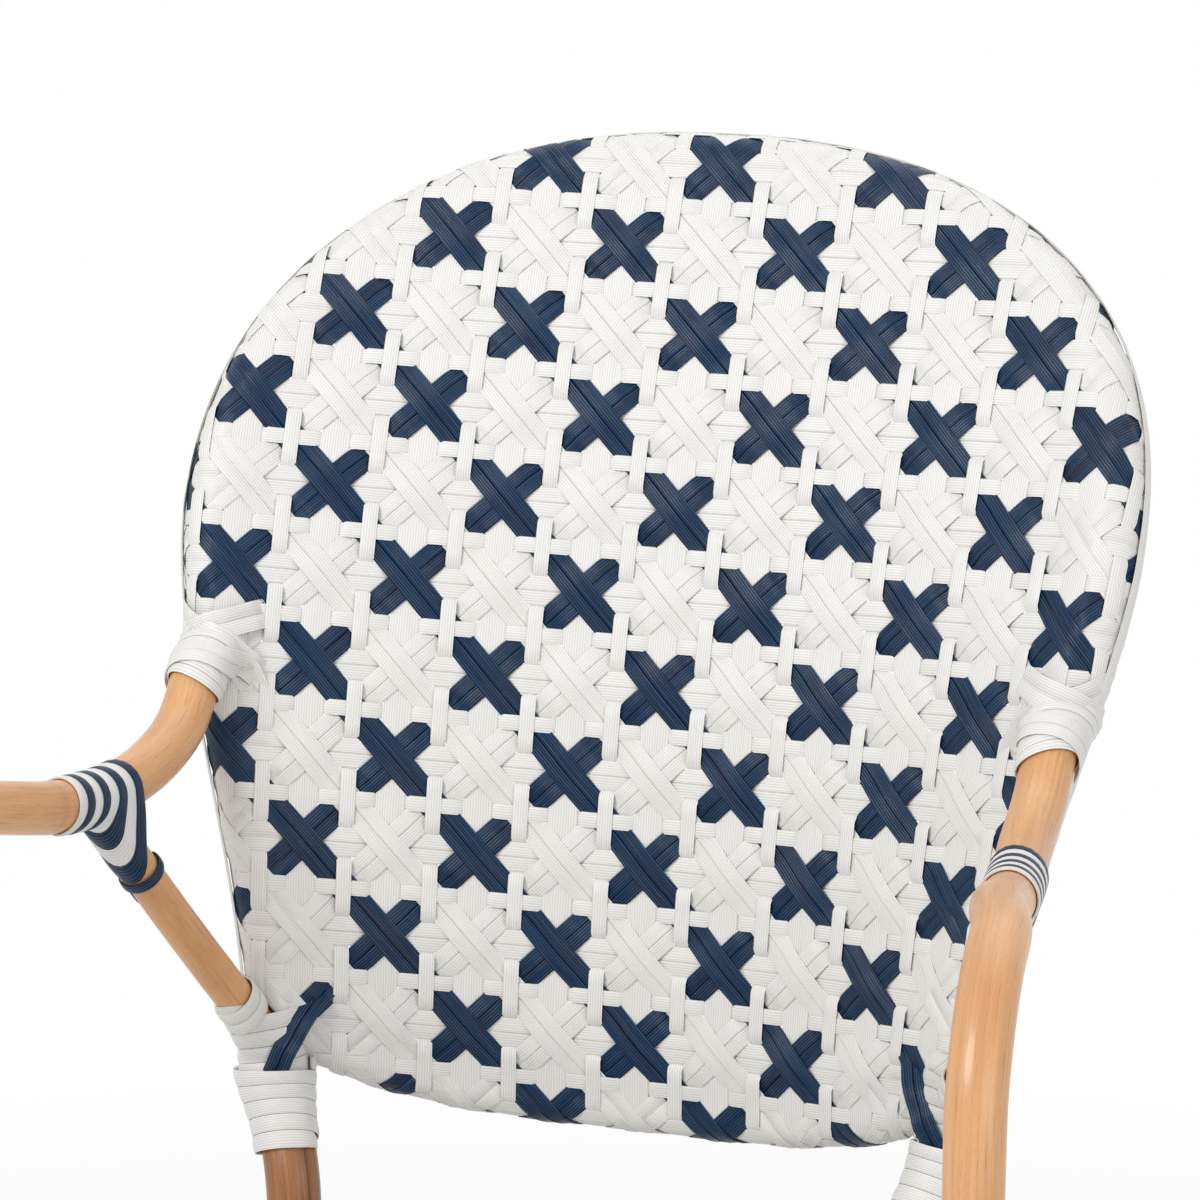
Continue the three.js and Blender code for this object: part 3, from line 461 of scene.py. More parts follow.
def leg_station(side, at_front, height):
    return leg_pole(side, at_front)[0].at(leg_length(side, at_front, height))


LOWER_CORNER = panel_point(RAIL_REACH, rail_v(RAIL_REACH), POLE_DEPTH)
STRUT_FOOT = float(LOWER_CORNER[2]) - STRUT_FOOT_DROP


def strut_route(side):
    top, _ = ARMS[side].at(arm_length(side, ARM_JOINT[1] - STRUT_REACH))
    foot, _ = leg_station(side, False, STRUT_FOOT)
    return Route([top, (top + foot) / 2 + [side * STRUT_BOW, 0, 0], foot])


def stretcher_route(side):
    return Route([leg_station(side, at_front, STRETCHER_HEIGHT)[0] for at_front in (False, True)])


def ring_route():
    plan = ring_plan(12.0)
    return Route(seat_point(plan[:, 0], plan[:, 1]), step=6.0)


def seat_rail_route(y):
    share = (y - SIDE_START[1]) / (SIDE_END[1] - SIDE_START[1])
    half = SIDE_START[0] + (SIDE_END[0] - SIDE_START[0]) * share
    height = POLE_RIM - SHEET_INSET - SHEET_THICKNESS - CLEARANCE - SEAT_RAIL
    return Route([seat_point(-half, y, height), seat_point(half, y, height)])


def arch_route(ends, top_plan):
    """An arch: up beside one leg, along under the ring and down beside the other leg."""
    top = [seat_point(x, y, -(POLE_RIM + CLEARANCE + ARCH)) for x, y in top_plan]
    halves = []
    for (side, at_front, way), end in zip(ends, (top[0], top[-1])):
        reach = leg_pole(side, at_front)[1] + CLEARANCE + ARCH
        hold = []
        for share in ARCH_HOLD_SHARES:
            point, tangent = leg_station(side, at_front, ARCH_FOOT + ARCH_HOLD * share)
            hold.append(point + square_to(tangent, unit(np.array([*way, 0.0]))) * reach)
        start = hold[-1]
        corner = np.array([start[0], start[1], end[2]])
        halves.append(hold + [(1 - t) ** 2 * start + 2 * t * (1 - t) * corner + t * t * end
                              for t in (1 / 3, 2 / 3)])
    return Route([*halves[0], *top, *halves[1][::-1]])


def arch_routes():
    push = (FRONT_LINE - FRONT_LEG[1]) / (ARM_POLE + CLEARANCE + ARCH)
    inward = math.sqrt(1 - push ** 2)
    top_half = FRONT_LEG[0] - ARCH - ARM_POLE - ARCH_BEND
    rear_in, rear_push = REAR_ARCH_SHARES
    rear_angles = [math.pi / 2 + turn * REAR_ARCH_SPREAD for turn in (1, 0, -1)]
    routes = {
        "front": arch_route([(s, True, (-s * inward, push)) for s in (-1, 1)],
                            [(x, FRONT_LINE) for x in (-top_half, 0, top_half)]),
        "rear": arch_route([(s, False, (-s * rear_in, rear_push)) for s in (-1, 1)],
                           [on_circle((0, 0), REAR_RADIUS, angle) for angle in rear_angles]),
    }
    for name, side in SIDES.items():
        plan = [(SIDE_START + (SIDE_END - SIDE_START) * share) * [side, 1] for share in SIDE_ARCH_SHARES]
        routes[name] = arch_route([
            (side, False, (side * SIDE_REAR_SHARES[0], -SIDE_REAR_SHARES[1])),
            (side, True, (-side * SIDE_FRONT_SHARES[0], SIDE_FRONT_SHARES[1])),
        ], plan)
    return routes


STRUTS = both_sides(strut_route)
LOWER_RAIL = Route([panel_point(u, rail_v(u), POLE_DEPTH)
                    for u in np.linspace(-RAIL_REACH, RAIL_REACH, 7)])
RING = ring_route()
ARCHES = arch_routes()
SIDE_STRETCHERS = both_sides(stretcher_route)
CROSS_STRETCHER = Route([SIDE_STRETCHERS[side].middle()[0] for side in (-1, 1)])


# Materials
def add(tree, kind, inputs=None, **settings):
    """Adds a node, with values or links for its inputs."""
    node = tree.nodes.new(kind)
    for name, value in settings.items():
        setattr(node, name, value)
    for name, value in (inputs or {}).items():
        if isinstance(value, bpy.types.NodeSocket):
            tree.links.new(value, node.inputs[name])
        else:
            node.inputs[name].default_value = value
    return node


# By the names of the slots that they fill
MATERIALS = {}


def start_material(name, **sockets):
    material = MATERIALS[name] = bpy.data.materials.new(name)
    material.use_nodes = True
    shader = material.node_tree.nodes["Principled BSDF"]
    for socket, value in sockets.items():
        shader.inputs[socket.replace("_", " ")].default_value = value
    return material.node_tree, shader


def attribute(tree, name, output):
    return add(tree, "ShaderNodeAttribute", attribute_name=name).outputs[output]


def noise(tree, scale, detail=3.0, roughness=0.55):
    """Noise in the grain's coordinates, with a scale for each of them."""
    grain = {0: attribute(tree, "grain", "Vector"), 1: scale}
    place = add(tree, "ShaderNodeVectorMath", grain, operation="MULTIPLY").outputs["Vector"]
    return add(tree, "ShaderNodeTexNoise", {
        "Vector": place, "Scale": 1.0, "Detail": detail, "Roughness": roughness,
    }).outputs["Fac"]


def ramp(tree, value, low, high, result=(0.0, 1.0)):
    return add(tree, "ShaderNodeMapRange", {
        "Value": value, "From Min": low, "From Max": high, "To Min": result[0], "To Max": result[1],
    }, clamp=True).outputs["Result"]


def calc(tree, operation, *values):
    return add(tree, "ShaderNodeMath", dict(enumerate(values)), operation=operation).outputs[0]


def mix(tree, factor, a, b):
    return add(tree, "ShaderNodeMix", {0: factor, 6: a, 7: b}, data_type="RGBA").outputs[2]


def finish_shader(tree, shader, colour, gloss, height=None, relief=0.0):
    """Links a material's colour and roughness, and its bumps where it has any."""
    tree.links.new(colour, shader.inputs["Base Color"])
    tree.links.new(gloss, shader.inputs["Roughness"])
    if height is not None:
        bump = add(tree, "ShaderNodeBump", {"Height": height, "Distance": relief, "Strength": 1.0})
        tree.links.new(bump.outputs["Normal"], shader.inputs["Normal"])


def rattan(name, pale, middle, dark, streak, streaks, coat):
    """Lacquered cane: long fibres, blotches, short dark flecks, streaks, darker knots and pores."""
    tree, shader = start_material(name, Coat_Weight=coat, Coat_Roughness=0.16)

    def tinted(colour, tint, texture, low, high, share):
        return mix(tree, calc(tree, "MULTIPLY", ramp(tree, texture, low, high), share), colour, tint)

    fibres = noise(tree, (0.9, 0.9, 0.012), 4.0, 0.6)
    colour = mix(tree, ramp(tree, fibres, 0.3, 0.7), middle, pale)
    colour = tinted(colour, dark, noise(tree, (0.06, 0.06, 0.018), 2.0), 0.42, 0.72, 0.55)
    colour = tinted(colour, streak, noise(tree, (1.6, 1.6, 0.055), 2.0, 0.5), 0.62, 0.72, 0.6)
    colour = tinted(colour, streak, noise(tree, (0.5, 0.5, 0.006), 3.0, 0.5), 0.52, 0.66, streaks)
    colour = mix(tree, calc(tree, "MULTIPLY", attribute(tree, "knot", "Fac"), 0.35), colour, streak)
    colour = tinted(colour, dark, noise(tree, (5.0, 5.0, 0.35), 2.0, 0.6), 0.5, 0.75, 0.75)
    finish_shader(tree, shader, colour, ramp(tree, fibres, 0.0, 1.0, (0.34, 0.5)), fibres, 0.00018)


def strand(name, base, shade, groove_shade, crest, roughness, specular, relief):
    """Extruded strand with fine ribs along it: painted shade in the grooves, and a painted highlight on
    the crests.
    """
    tree, shader = start_material(name, Specular_IOR_Level=specular)
    place = add(tree, "ShaderNodeSeparateXYZ", {"Vector": attribute(tree, "grain", "Vector")})
    wave = calc(tree, "SINE", calc(tree, "MULTIPLY", place.outputs["X"], 2 * math.pi / RIB_PITCH))
    ribs = ramp(tree, wave, -1.0, 0.6)
    mottle = noise(tree, (0.25, 0.25, 0.02))
    scuff_and_glint_noise = noise(tree, (1.8, 1.8, 0.04))
    colour = mix(tree, calc(tree, "MULTIPLY", ramp(tree, mottle, 0.42, 0.68), 0.8), base, shade)
    # Painted highlight: the rib crests are lightened towards the crest colour in patches; the same noise
    # also varies the roughness
    painted_glint = calc(tree, "MULTIPLY", ramp(tree, wave, 0.2, 1.0), ramp(tree, scuff_and_glint_noise, 0.38, 0.62))
    colour = mix(tree, calc(tree, "MULTIPLY", painted_glint, 0.6), colour, crest)
    # Painted shade: the grooves between the ribs are darkened towards the groove colour
    colour = mix(tree, ramp(tree, ribs, 0.0, 1.0, (0.7, 0.0)), colour, groove_shade)
    gloss = ramp(tree, scuff_and_glint_noise, 0.0, 1.0, (roughness - 0.06, roughness + 0.08))
    finish_shader(tree, shader, colour, gloss, ribs, relief)


def mottled(name, base, shade, roughness, metallic, scale):
    """Steel or nylon, with a fine mottle in colour and roughness."""
    tree, shader = start_material(name, Metallic=metallic)
    place = add(tree, "ShaderNodeTexCoord").outputs["Object"]
    texture = add(tree, "ShaderNodeTexNoise", {"Vector": place, "Scale": scale, "Detail": 3.0})
    texture = texture.outputs["Fac"]
    gloss = ramp(tree, texture, 0.0, 1.0, (roughness - 0.08, roughness + 0.1))
    finish_shader(tree, shader, mix(tree, texture, base, shade), gloss)


rattan("honey_rattan", (0.74, 0.41, 0.185, 1), (0.64, 0.325, 0.135, 1), (0.52, 0.235, 0.088, 1),
       (0.33, 0.135, 0.048, 1), 0.16, 0.3)
rattan("brown_rattan", (0.44, 0.18, 0.058, 1), (0.28, 0.105, 0.032, 1), (0.17, 0.06, 0.018, 1),
       (0.05, 0.018, 0.007, 1), 0.75, 0.12)
# Each strand: base colour, mottle colour, painted shade for the grooves and painted highlight for the
# crests
strand("white_strand", (0.785, 0.78, 0.76, 1), (0.755, 0.745, 0.72, 1), (0.6, 0.585, 0.55, 1),
       (0.8, 0.8, 0.785, 1), 0.45, 0.5, 0.00008)
strand("navy_strand", (0.002, 0.033, 0.09, 1), (0.013, 0.021, 0.052, 1), (0.0003, 0.004, 0.016, 1),
       (0.085, 0.125, 0.185, 1), 0.28, 0.2, 0.00014)
mottled("steel", (0.62, 0.63, 0.65, 1), (0.48, 0.49, 0.51, 1), 0.34, 1.0, 900.0)
mottled("nylon", (0.022, 0.022, 0.024, 1), (0.034, 0.034, 0.036, 1), 0.55, 0.0, 500.0)


# Meshes
def place_in_scene(name, data):
    thing = bpy.data.objects.new(name, data)
    bpy.context.scene.collection.objects.link(thing)
    return thing


class Soup:
    """Closed strips and tubes gathered into one mesh, with a grain coordinate and a knot value."""

    def __init__(self):
        self.points, self.grain, self.knots, self.faces = [], [], [], []
        self.count = 0

    def add(self, rings, grain, knot=None, closed=False):
        """rings and grain are (n, m, 3), closed round m. closed joins the last ring to the first."""
        n, m, _ = rings.shape
        index = np.arange(n * m).reshape(n, m)
        following = np.roll(index, -1, axis=0) if closed else index[1:]
        here = index if closed else index[:-1]
        quads = np.stack([here, np.roll(here, -1, 1), np.roll(following, -1, 1), following], -1)
        quads = quads.reshape(-1, 4)
        points = rings.reshape(-1, 3)
        a, b, c, d = (points[quads[:, k]] - points.mean(0) for k in range(4))
        volume = np.sum(dot(a, np.cross(b, c)) + dot(a, np.cross(c, d)))
        caps = [] if closed else [index[0][::-1], index[-1]]
        if volume < 0:
            quads = quads[:, ::-1]
            caps = [cap[::-1] for cap in caps]
        self.points.append(points)
        self.grain.append(grain.reshape(-1, 3))
        self.knots.append(np.zeros(n * m) if knot is None else np.repeat(knot, m))
        self.faces.append(quads + self.count)
        self.faces += [(cap + self.count)[None, :] for cap in caps]
        self.count += n * m

    def piece(self, name, *nodes, slot="white_strand", sharp=50):
        """Makes the mesh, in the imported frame, and rides it on the chair in place of the nodes."""
        points = (np.vstack(self.points) + SHIFT) * MM
        faces = [corners for group in self.faces for corners in group.tolist()]
        mesh = bpy.data.meshes.new(name)
        mesh.from_pydata(points.tolist(), [], faces, shade_flat=False)
        grain = mesh.attributes.new("grain", "FLOAT_VECTOR", "POINT")
        grain.data.foreach_set("vector", np.vstack(self.grain).astype(np.float32).ravel())
        knots = mesh.attributes.new("knot", "FLOAT", "POINT")
        knots.data.foreach_set("value", np.concatenate(self.knots).astype(np.float32))
        mesh.validate()
        mesh.set_sharp_from_angle(angle=math.radians(sharp))
        mesh.materials.append(MATERIALS[slot])
        piece = place_in_scene(name, mesh)
        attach(piece, "root")
        if nodes:
            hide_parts(*nodes)


def section(profile, width, thickness=STRAND):
    return profile[:, 0] * width / 2, profile[:, 1] * thickness


def grain_of(across, up, lengths, seed=0.0):
    """The grain of a strip: across it, up in it and along it. The seed moves the last two."""
    return np.stack(np.broadcast_arrays(across, up + seed, lengths[:, None] + seed), -1)


def carried_frames(tangents, first):
    """Two directions square to each tangent, carried along without twist."""
    across = np.empty_like(tangents)
    current = first
    for k, tangent in enumerate(tangents):
        current = across[k] = square_to(tangent, current)
    return across, np.cross(tangents, across)


def pole_piece(name, route, radius, insets=(0, 0), slot="honey_rattan", sides=TUBE_SIDES, closed=False):
    """A pole along a route, short of its ends by the insets, with rounded ends and swollen knots."""
    start, end = insets[0], route.length - insets[1]
    lengths = np.linspace(start, end, max(3, round((end - start) / TUBE_STEP)))
    if closed:
        lengths = lengths[:-1]
    else:
        rounding = np.array([0, 0.4, ROUND_END])
        lengths = np.concatenate([start + rounding, lengths[1:-1], end - rounding[::-1]])
    points, tangents = route.at(lengths)
    place = start + rng.uniform(0.2, 0.9) * KNOT_SPACING
    knot = np.zeros(len(lengths))
    while place < end:
        knot = np.maximum(knot, np.exp(-((lengths - place) / KNOT_HALF) ** 2) * rng.uniform(0.6, 1.0))
        place += KNOT_SPACING * rng.uniform(0.7, 1.35)
    size = radius * (1 + POLE_WAVER * np.sin(lengths / 47.0 + rng.uniform(0, 6)) + KNOT_SWELL * knot)
    if not closed:
        size[[0, -1]] -= ROUND_END
        size[[1, -2]] -= 0.55
    across, third = carried_frames(tangents, np.array([0.31, 0.2, 0.93]))
    rings = points[:, None] + circle(across[:, None], third[:, None], sides) * size[:, None, None]
    offset = rng.uniform(0, 500, 2)
    x, y = radius * circle(*np.eye(2), sides).T
    soup = Soup()
    soup.add(rings, grain_of(x + offset[0], y, lengths + offset[1]), knot, closed)
    soup.piece(name + "_cane", name, slot=slot)


def make_poles():
    brown = {"slot": "brown_rattan"}
    pole_piece("back_frame_pole", BACK, BACK_POLE, sides=26, **brown)
    pole_piece("back_bottom_rail", LOWER_RAIL, BOTTOM_RAIL, (8, 8), **brown)
    pole_piece("seat_ring_pole", RING, RING_POLE, closed=True, **brown)
    for name, y in SEAT_RAIL_PLACES.items():
        pole_piece("seat_rail_" + name, seat_rail_route(y), SEAT_RAIL, (9, 9), **brown)
    for name, route in ARCHES.items():
        pole_piece("seat_arch_" + name, route, ARCH)
    for name, side in SIDES.items():
        pole_piece("arm_pole_" + name, ARMS[side], ARM_POLE, (11, 0), sides=26)
        pole_piece("arm_strut_" + name, STRUTS[side], STRUT, (7, 7))
        pole_piece("side_stretcher_" + name, SIDE_STRETCHERS[side], STRETCHER, (8, 8))
    pole_piece("cross_stretcher", CROSS_STRETCHER, STRETCHER, (7, 7))


# Weaves
class Rim:
    """The centre line of a pole that the strands wrap, as close samples with its own directions."""

    def __init__(self, line, place, pole, closed=False):
        self.line, self.closed = line, closed
        self.reach = pole + CLEARANCE + WRAP_SKIN / 2
        self.spacing = float(np.linalg.norm(line[1] - line[0]))
        self.direction = unit(self.slope(line))
        self.outward = leftward(self.direction)
        deep = np.full(len(line), POLE_DEPTH)
        self.centre = place(*line.T, deep)
        outside = place(*(line + self.outward).T, deep) - self.centre
        tangent = unit(self.slope(self.centre))
        self.back = square_to(tangent, self.centre - place(*line.T, np.zeros(len(line))))
        out = np.cross(tangent, self.back)
        self.out = out * np.sign(dot(out, outside))[:, None]
        self.tree = KDTree(len(line))
        for k, (u, v) in enumerate(line):
            self.tree.insert((u, v, 0), k)
        self.tree.balance()

    def slope(self, line):
        if self.closed:
            return np.roll(line, -1, axis=0) - np.roll(line, 1, axis=0)
        return np.gradient(line, axis=0)

    def measure(self, uv):
        """For points of the sheet: where they are nearest along the rim, and how far outside it."""
        flatuv = uv.reshape(-1, 2)
        nearest = np.array([self.tree.find((u, v, 0))[1] for u, v in flatuv])
        away = flatuv - self.line[nearest]
        outside = dot(away, self.outward[nearest])
        along = np.clip(dot(away, self.direction[nearest]) / self.spacing, -0.6, 0.6)
        return (nearest + along).reshape(uv.shape[:-1]), outside.reshape(uv.shape[:-1])

    def take(self, values, place):
        low = np.floor(place).astype(int)
        share = (place - low)[..., None]
        count = len(values)
        here, following = (k % count if self.closed else np.clip(k, 0, count - 1) for k in (low, low + 1))
        return values[here] * (1 - share) + values[following] * share

    def wrapped(self, place, turn, radius):
        """A point round the pole: turn is 0 at the front of the sheet and a quarter at the outside."""
        out, back = unit(self.take(self.out, place)), unit(self.take(self.back, place))
        ray = np.sin(turn)[..., None] * out - np.cos(turn)[..., None] * back
        return self.take(self.centre, place) + ray * radius[..., None]

    def strand(self, soup, turn, rise, first, last, width):
        """A finishing strand that lies along the rim at one turn round the pole."""
        place = np.arange(first, last, 3.0)
        radius = self.reach + rise
        across, up = section(FLAT, width)
        places, turns = np.broadcast_arrays(place[:, None], turn + across / radius)
        rings = self.wrapped(places, turns, np.broadcast_to(radius + up, places.shape))
        soup.add(rings, grain_of(across, up, place * self.spacing), closed=self.closed)


class Weave:
    """A woven sheet: points of its plan and heights over its middle surface become points in space."""

    def __init__(self, place, rims):
        self.place, self.rims = place, rims

    def kept(self, uv):
        """Which samples of a strand's centre line exist, and which ones lie past the last rim."""
        away = [rim.measure(uv)[1] for rim in self.rims]
        keep = np.all([gone < WRAP_TURN * rim.reach for rim, gone in zip(self.rims, away)], axis=0)
        if len(away) > 1:
            keep &= ~((away[0] > 0) & (away[1] > 0))
        return keep, away[-1] > 0

    def points(self, uv, height, past_last):
        """uv is (n, m, 2), height (n, m), past_last (n): a strand wraps the last rim there."""
        measures = [rim.measure(uv) for rim in self.rims]
        depth = np.zeros(height.shape)
        squeeze = np.ones(height.shape)
        for rim, (_, distance) in zip(self.rims, measures):
            near = smoothstep(-24, -2, distance)
            depth += near * (POLE_DEPTH - rim.reach)
            squeeze = np.minimum(squeeze, 1 - near * (1 - WRAP_SQUEEZE))
        result = self.place(uv[..., 0], uv[..., 1], depth - height * squeeze)
        for number in reversed(range(len(self.rims))):
            rim, (place, distance) = self.rims[number], measures[number]
            beyond = distance > 0
            if number == 0 and len(self.rims) > 1:
                beyond &= ~past_last[:, None]
            wrapped = rim.wrapped(place, distance / rim.reach, rim.reach + height * WRAP_SQUEEZE)
            result = np.where(beyond[..., None], wrapped, result)
        return result

    def strand(self, soup, uv, height, profile, width):
        """Adds a strand along a line of the plan wherever the weave has it."""
        keep, past_last = self.kept(uv)
        edges = np.flatnonzero(np.diff(np.concatenate([[0], keep.astype(int), [0]])))
        across, up = section(profile, width)
        for first, last in zip(edges[::2], edges[1::2]):
            if last - first < 5:
                continue
            line = uv[first:last]
            spread = line[:, None] + side_of(line)[:, None] * across[:, None]
            rings = self.points(spread, height[first:last, None] + up, past_last[first:last])
            soup.add(rings, grain_of(across, up, running(line), rng.uniform(0, GRAIN_SEED)))


def from_nearest(x):
    return np.abs(x - np.round(x)) * CELL


def stops(low, high, shares):
    """Grid coordinates from low to high, with the same stops either side of every whole number."""
    whole = np.arange(math.floor(low) - 1, math.ceil(high) + 2)
    places = np.unique(np.round(whole[:, None] + np.concatenate([-np.array(shares), shares]), 6))
    return places[(places >= low) & (places <= high)]


def drift(count, amount):
    """A slow wander of a strand to either side."""
    t = np.linspace(0, 1, count)
    phase = rng.uniform(0, 2 * math.pi, 2)
    return amount * (np.sin(9 * t + phase[0]) + 0.6 * np.sin(23 * t + phase[1]))


def weave_strands(weave, name, node, plan, grid, plain, finish):
    """Six families of strands: narrow and paired ones both ways, and two diagonals.

    plan turns grid coordinates into the sheet's; whole numbers are the centres of the cells. At a centre
    the diagonals lie on top, at a corner the narrow strands do, and in between the pairs do. Every second
    diagonal is navy, apart from the plain ones, which are given by their way and number. finish adds the
    strands along the rims to the level ones.
    """
    soups = {kind: Soup() for kind in ("upright", "level", "white_crosses", "navy_crosses")}
    columns, rows = grid

    def lay(kind, a, b, layer, profile, width):
        height = (layer - MIDDLE_LAYER) * LAYER + drift(len(a), HEIGHT_DRIFT)
        uv = plan(a, b)
        uv = uv + side_of(uv) * drift(len(a), SIDE_DRIFT)[:, None]
        weave.strand(soups[kind], uv, height, profile, width)

    for kind, offset, top, rise, profile, width in STRAIGHT_FAMILIES:
        upright = kind == "upright"
        (low, high), along = (columns, rows) if upright else (rows, columns)
        along = stops(*along, STRAIGHT_STOPS)
        layer = top * smoothstep(*rise, from_nearest(along))
        for number in np.arange(math.ceil(low - offset), math.floor(high - offset) + 1) + offset:
            fixed = np.full(len(along), number)
            a, b = (fixed, along) if upright else (along, fixed)
            lay(kind, a, b, layer, profile, width)
    for way, top, drop in DIAGONAL_FAMILIES:
        sums = [x + way * y for x in columns for y in rows]
        for number in range(math.ceil(min(sums)), math.floor(max(sums)) + 1):
            ends = [number - way * y for y in rows]
            low, high = max(columns[0], min(ends)), min(columns[1], max(ends))
            if high - low < 0.3:
                continue
            t = stops(low, high, CROSS_STOPS)
            layer = top - CROSS_DROP * smoothstep(*drop, from_nearest(t) * math.sqrt(2))
            navy = number % 2 == 0 and (way, number) not in plain
            lay("navy_crosses" if navy else "white_crosses", t, (number - t) * way, layer, CREASED, CROSS)
    finish(soups["level"])
    for kind, soup in soups.items():
        nodes = (node,) if kind == "upright" else ()
        colour = "navy" if kind == "navy_crosses" else "white"
        soup.piece(f"{name}_{kind}", *nodes, slot=colour + "_strand")


def back_plan(a, b):
    v = (b - 0.5) * CELL * CELL_STRETCH + WEAVE_START[1]
    u = a * CELL * (1 + CELL_SPREAD * v) + WEAVE_LEAN * v + WEAVE_START[0]
    return np.stack([u, v], -1)


def seat_plan(a, b):
    return np.stack([a * CELL, (b - 0.5) * CELL], -1)


def make_back_weave():
    half = np.stack(hoop_half(HOOP_END, 400, 300), -1)
    line = evenly(np.vstack([half[::-1] * [-1, 1], half[1:]]), 1.0)
    hoop = Rim(line, panel_point, BACK_POLE)
    across = np.linspace(RAIL_REACH + RAIL_PAST, -RAIL_REACH - RAIL_PAST, 400)
    rail = Rim(evenly(np.stack([across, rail_v(across)], -1), 1.0), panel_point, BOTTOM_RAIL)
    weave = Weave(panel_point, [hoop, rail])

    def finish(soup):
        ends = np.flatnonzero(line[:, 1] > rail_v(line[:, 0]) - 4)[[0, -1]]
        hoop.strand(soup, HIDDEN_TURN, 1.5, *ends, 9.0)
        hoop.strand(soup, math.radians(100), 1.3, *ends, NARROW)
        ends = np.flatnonzero(np.abs(rail.line[:, 0]) < RAIL_REACH - 4)[[0, -1]]
        rail.strand(soup, HIDDEN_TURN, 1.4, *ends, 8.0)

    weave_strands(weave, "back_weave", "back_weave_panel", back_plan, BACK_GRID, PLAIN_DIAGONALS, finish)
    return weave


def make_seat_weave():
    line = ring_plan(1.0)[:-1]
    ring = Rim(line, seat_sheet, RING_POLE, closed=True)
    weave_strands(Weave(seat_sheet, [ring]), "seat_weave", "seat_weave", seat_plan, SEAT_GRID, (),
                  lambda soup: ring.strand(soup, HIDDEN_TURN, 1.5, 0, len(line), 9.0))


# Surfaces that the bindings are wound on
def convex_outline(points):
    """The convex hull of points in a plane, anticlockwise."""
    order = points[np.lexsort((points[:, 1], points[:, 0]))]

    def half(items):
        chain = []
        for p in items:
            while len(chain) > 1 and np.cross(chain[-1] - chain[-2], p - chain[-2]) <= 0:
                chain.pop()
            chain.append(p)
        return chain[:-1]

    return np.array(half(order) + half(order[::-1]))


def hull_loop(members, origin, normal, first):
    """The taut loop round the poles where a plane cuts them, from the direction first."""
    e1 = square_to(normal, first)
    e2 = np.cross(normal, e1)
    rings = []
    for route, radius in members:
        side = (route.points - origin) @ normal
        crossing = np.flatnonzero(np.sign(side[:-1]) != np.sign(side[1:]))
        if not len(crossing):
            continue
        k = crossing[np.argmin(np.linalg.norm(route.points[crossing] - origin, axis=1))]
        share = side[k] / (side[k] - side[k + 1])
        point = route.points[k] * (1 - share) + route.points[k + 1] * share
        tangent = route.tangents[k]
        lean = max(abs(dot(tangent, normal)), 0.4)
        along = tangent - normal * dot(tangent, normal)
        along = unit(along) if np.linalg.norm(along) > 1e-4 else e1
        rings.append(point + radius * circle(along / lean, np.cross(normal, along), 40))
    cloud = np.vstack(rings) - origin
    hull = convex_outline(np.stack([cloud @ e1, cloud @ e2], -1))
    middle = (hull.max(0) + hull.min(0)) / 2
    dense = evenly(np.vstack([hull, hull[:1]]), 0.7)[:-1] - middle
    around = np.arctan2(dense[:, 1], dense[:, 0])
    wanted = np.linspace(0, 2 * math.pi, LOOP, endpoint=False)
    reach = np.interp(wanted, around, np.linalg.norm(dense, axis=1), period=2 * math.pi)
    x, y = middle[0] + reach * np.cos(wanted), middle[1] + reach * np.sin(wanted)
    return origin + x[:, None] * e1 + y[:, None] * e2


class Wound:
    """A surface of loops that a ribbon is wound on."""

    def __init__(self, loops):
        self.loops = np.array(loops)
        self.length = float(np.sum(np.linalg.norm(np.diff(self.loops, axis=0), axis=2).mean(axis=1)))
        round_way = np.roll(self.loops, -1, 1) - np.roll(self.loops, 1, 1)
        normal = np.cross(round_way, np.gradient(self.loops, axis=0))
        length = np.linalg.norm(normal, axis=-1, keepdims=True)
        radial = self.loops - self.loops.mean(axis=1)[:, None]
        normal = np.where(length > 1e-9, normal / np.maximum(length, 1e-9), unit(radial))
        self.normals = normal * np.sign(np.sum(dot(normal, radial)))

    def at(self, share, turn):
        """Points and normals at shares of the way along the surface and at turns round it."""
        rows, count, _ = self.loops.shape
        x = np.clip(share, 0, 1) * (rows - 1)
        i = np.clip(np.floor(x).astype(int), 0, rows - 2)
        fx = (x - i)[..., None]
        y = (turn % 1.0) * count
        j = np.floor(y).astype(int) % count
        fy = (y - np.floor(y))[..., None]
        results = []
        for values in (self.loops, self.normals):
            a, b = (values[k, j] * (1 - fy) + values[k, (j + 1) % count] * fy for k in (i, i + 1))
            results.append(a * (1 - fx) + b * fx)
        return results[0], unit(results[1])

    def ribbon(self, soup, first, last, turns, width=None, lift=0.6, begin=0.0, starts=1):
        """Winds a ribbon from one share of the surface to another, its ends tucked under.

        Without a width, the turns lie edge to edge, with the number of starts that share the surface.
        """
        t = np.linspace(0, 1, max(24, round(abs(turns) * 56)))
        pitch = abs(last - first) / abs(turns) / starts
        across, up = section(FLAT, width or pitch * self.length * FILL, RIBBON_THICKNESS)
        share = (first + (last - first) * t)[:, None] + across / self.length
        turn = begin + turns * t
        point, normal = self.at(share, np.broadcast_to(turn[:, None], share.shape))
        sink = 0.9 * (1 - smoothstep(0, 0.05, np.minimum(t, 1 - t) * abs(turns)))
        rings = point + normal * (lift + up - sink[:, None])[..., None]
        soup.add(rings, grain_of(across, up, running(rings.mean(1)), rng.uniform(0, GRAIN_SEED)))


def pole_loop(route, length, radius, first):
    """A loop round a pole from the direction first, and its centre."""
    point, tangent = route.at(length)
    e1 = square_to(tangent, first)
    return point + radius * circle(e1, np.cross(tangent, e1)), point


def pole_surface(route, radius, start, end, rows=10):
    """A stretch of a pole as a surface to wind on."""
    first = np.array([0.2, -1.0, 0.1])
    return Wound([pole_loop(route, length, radius, first)[0] for length in np.linspace(start, end, rows)])


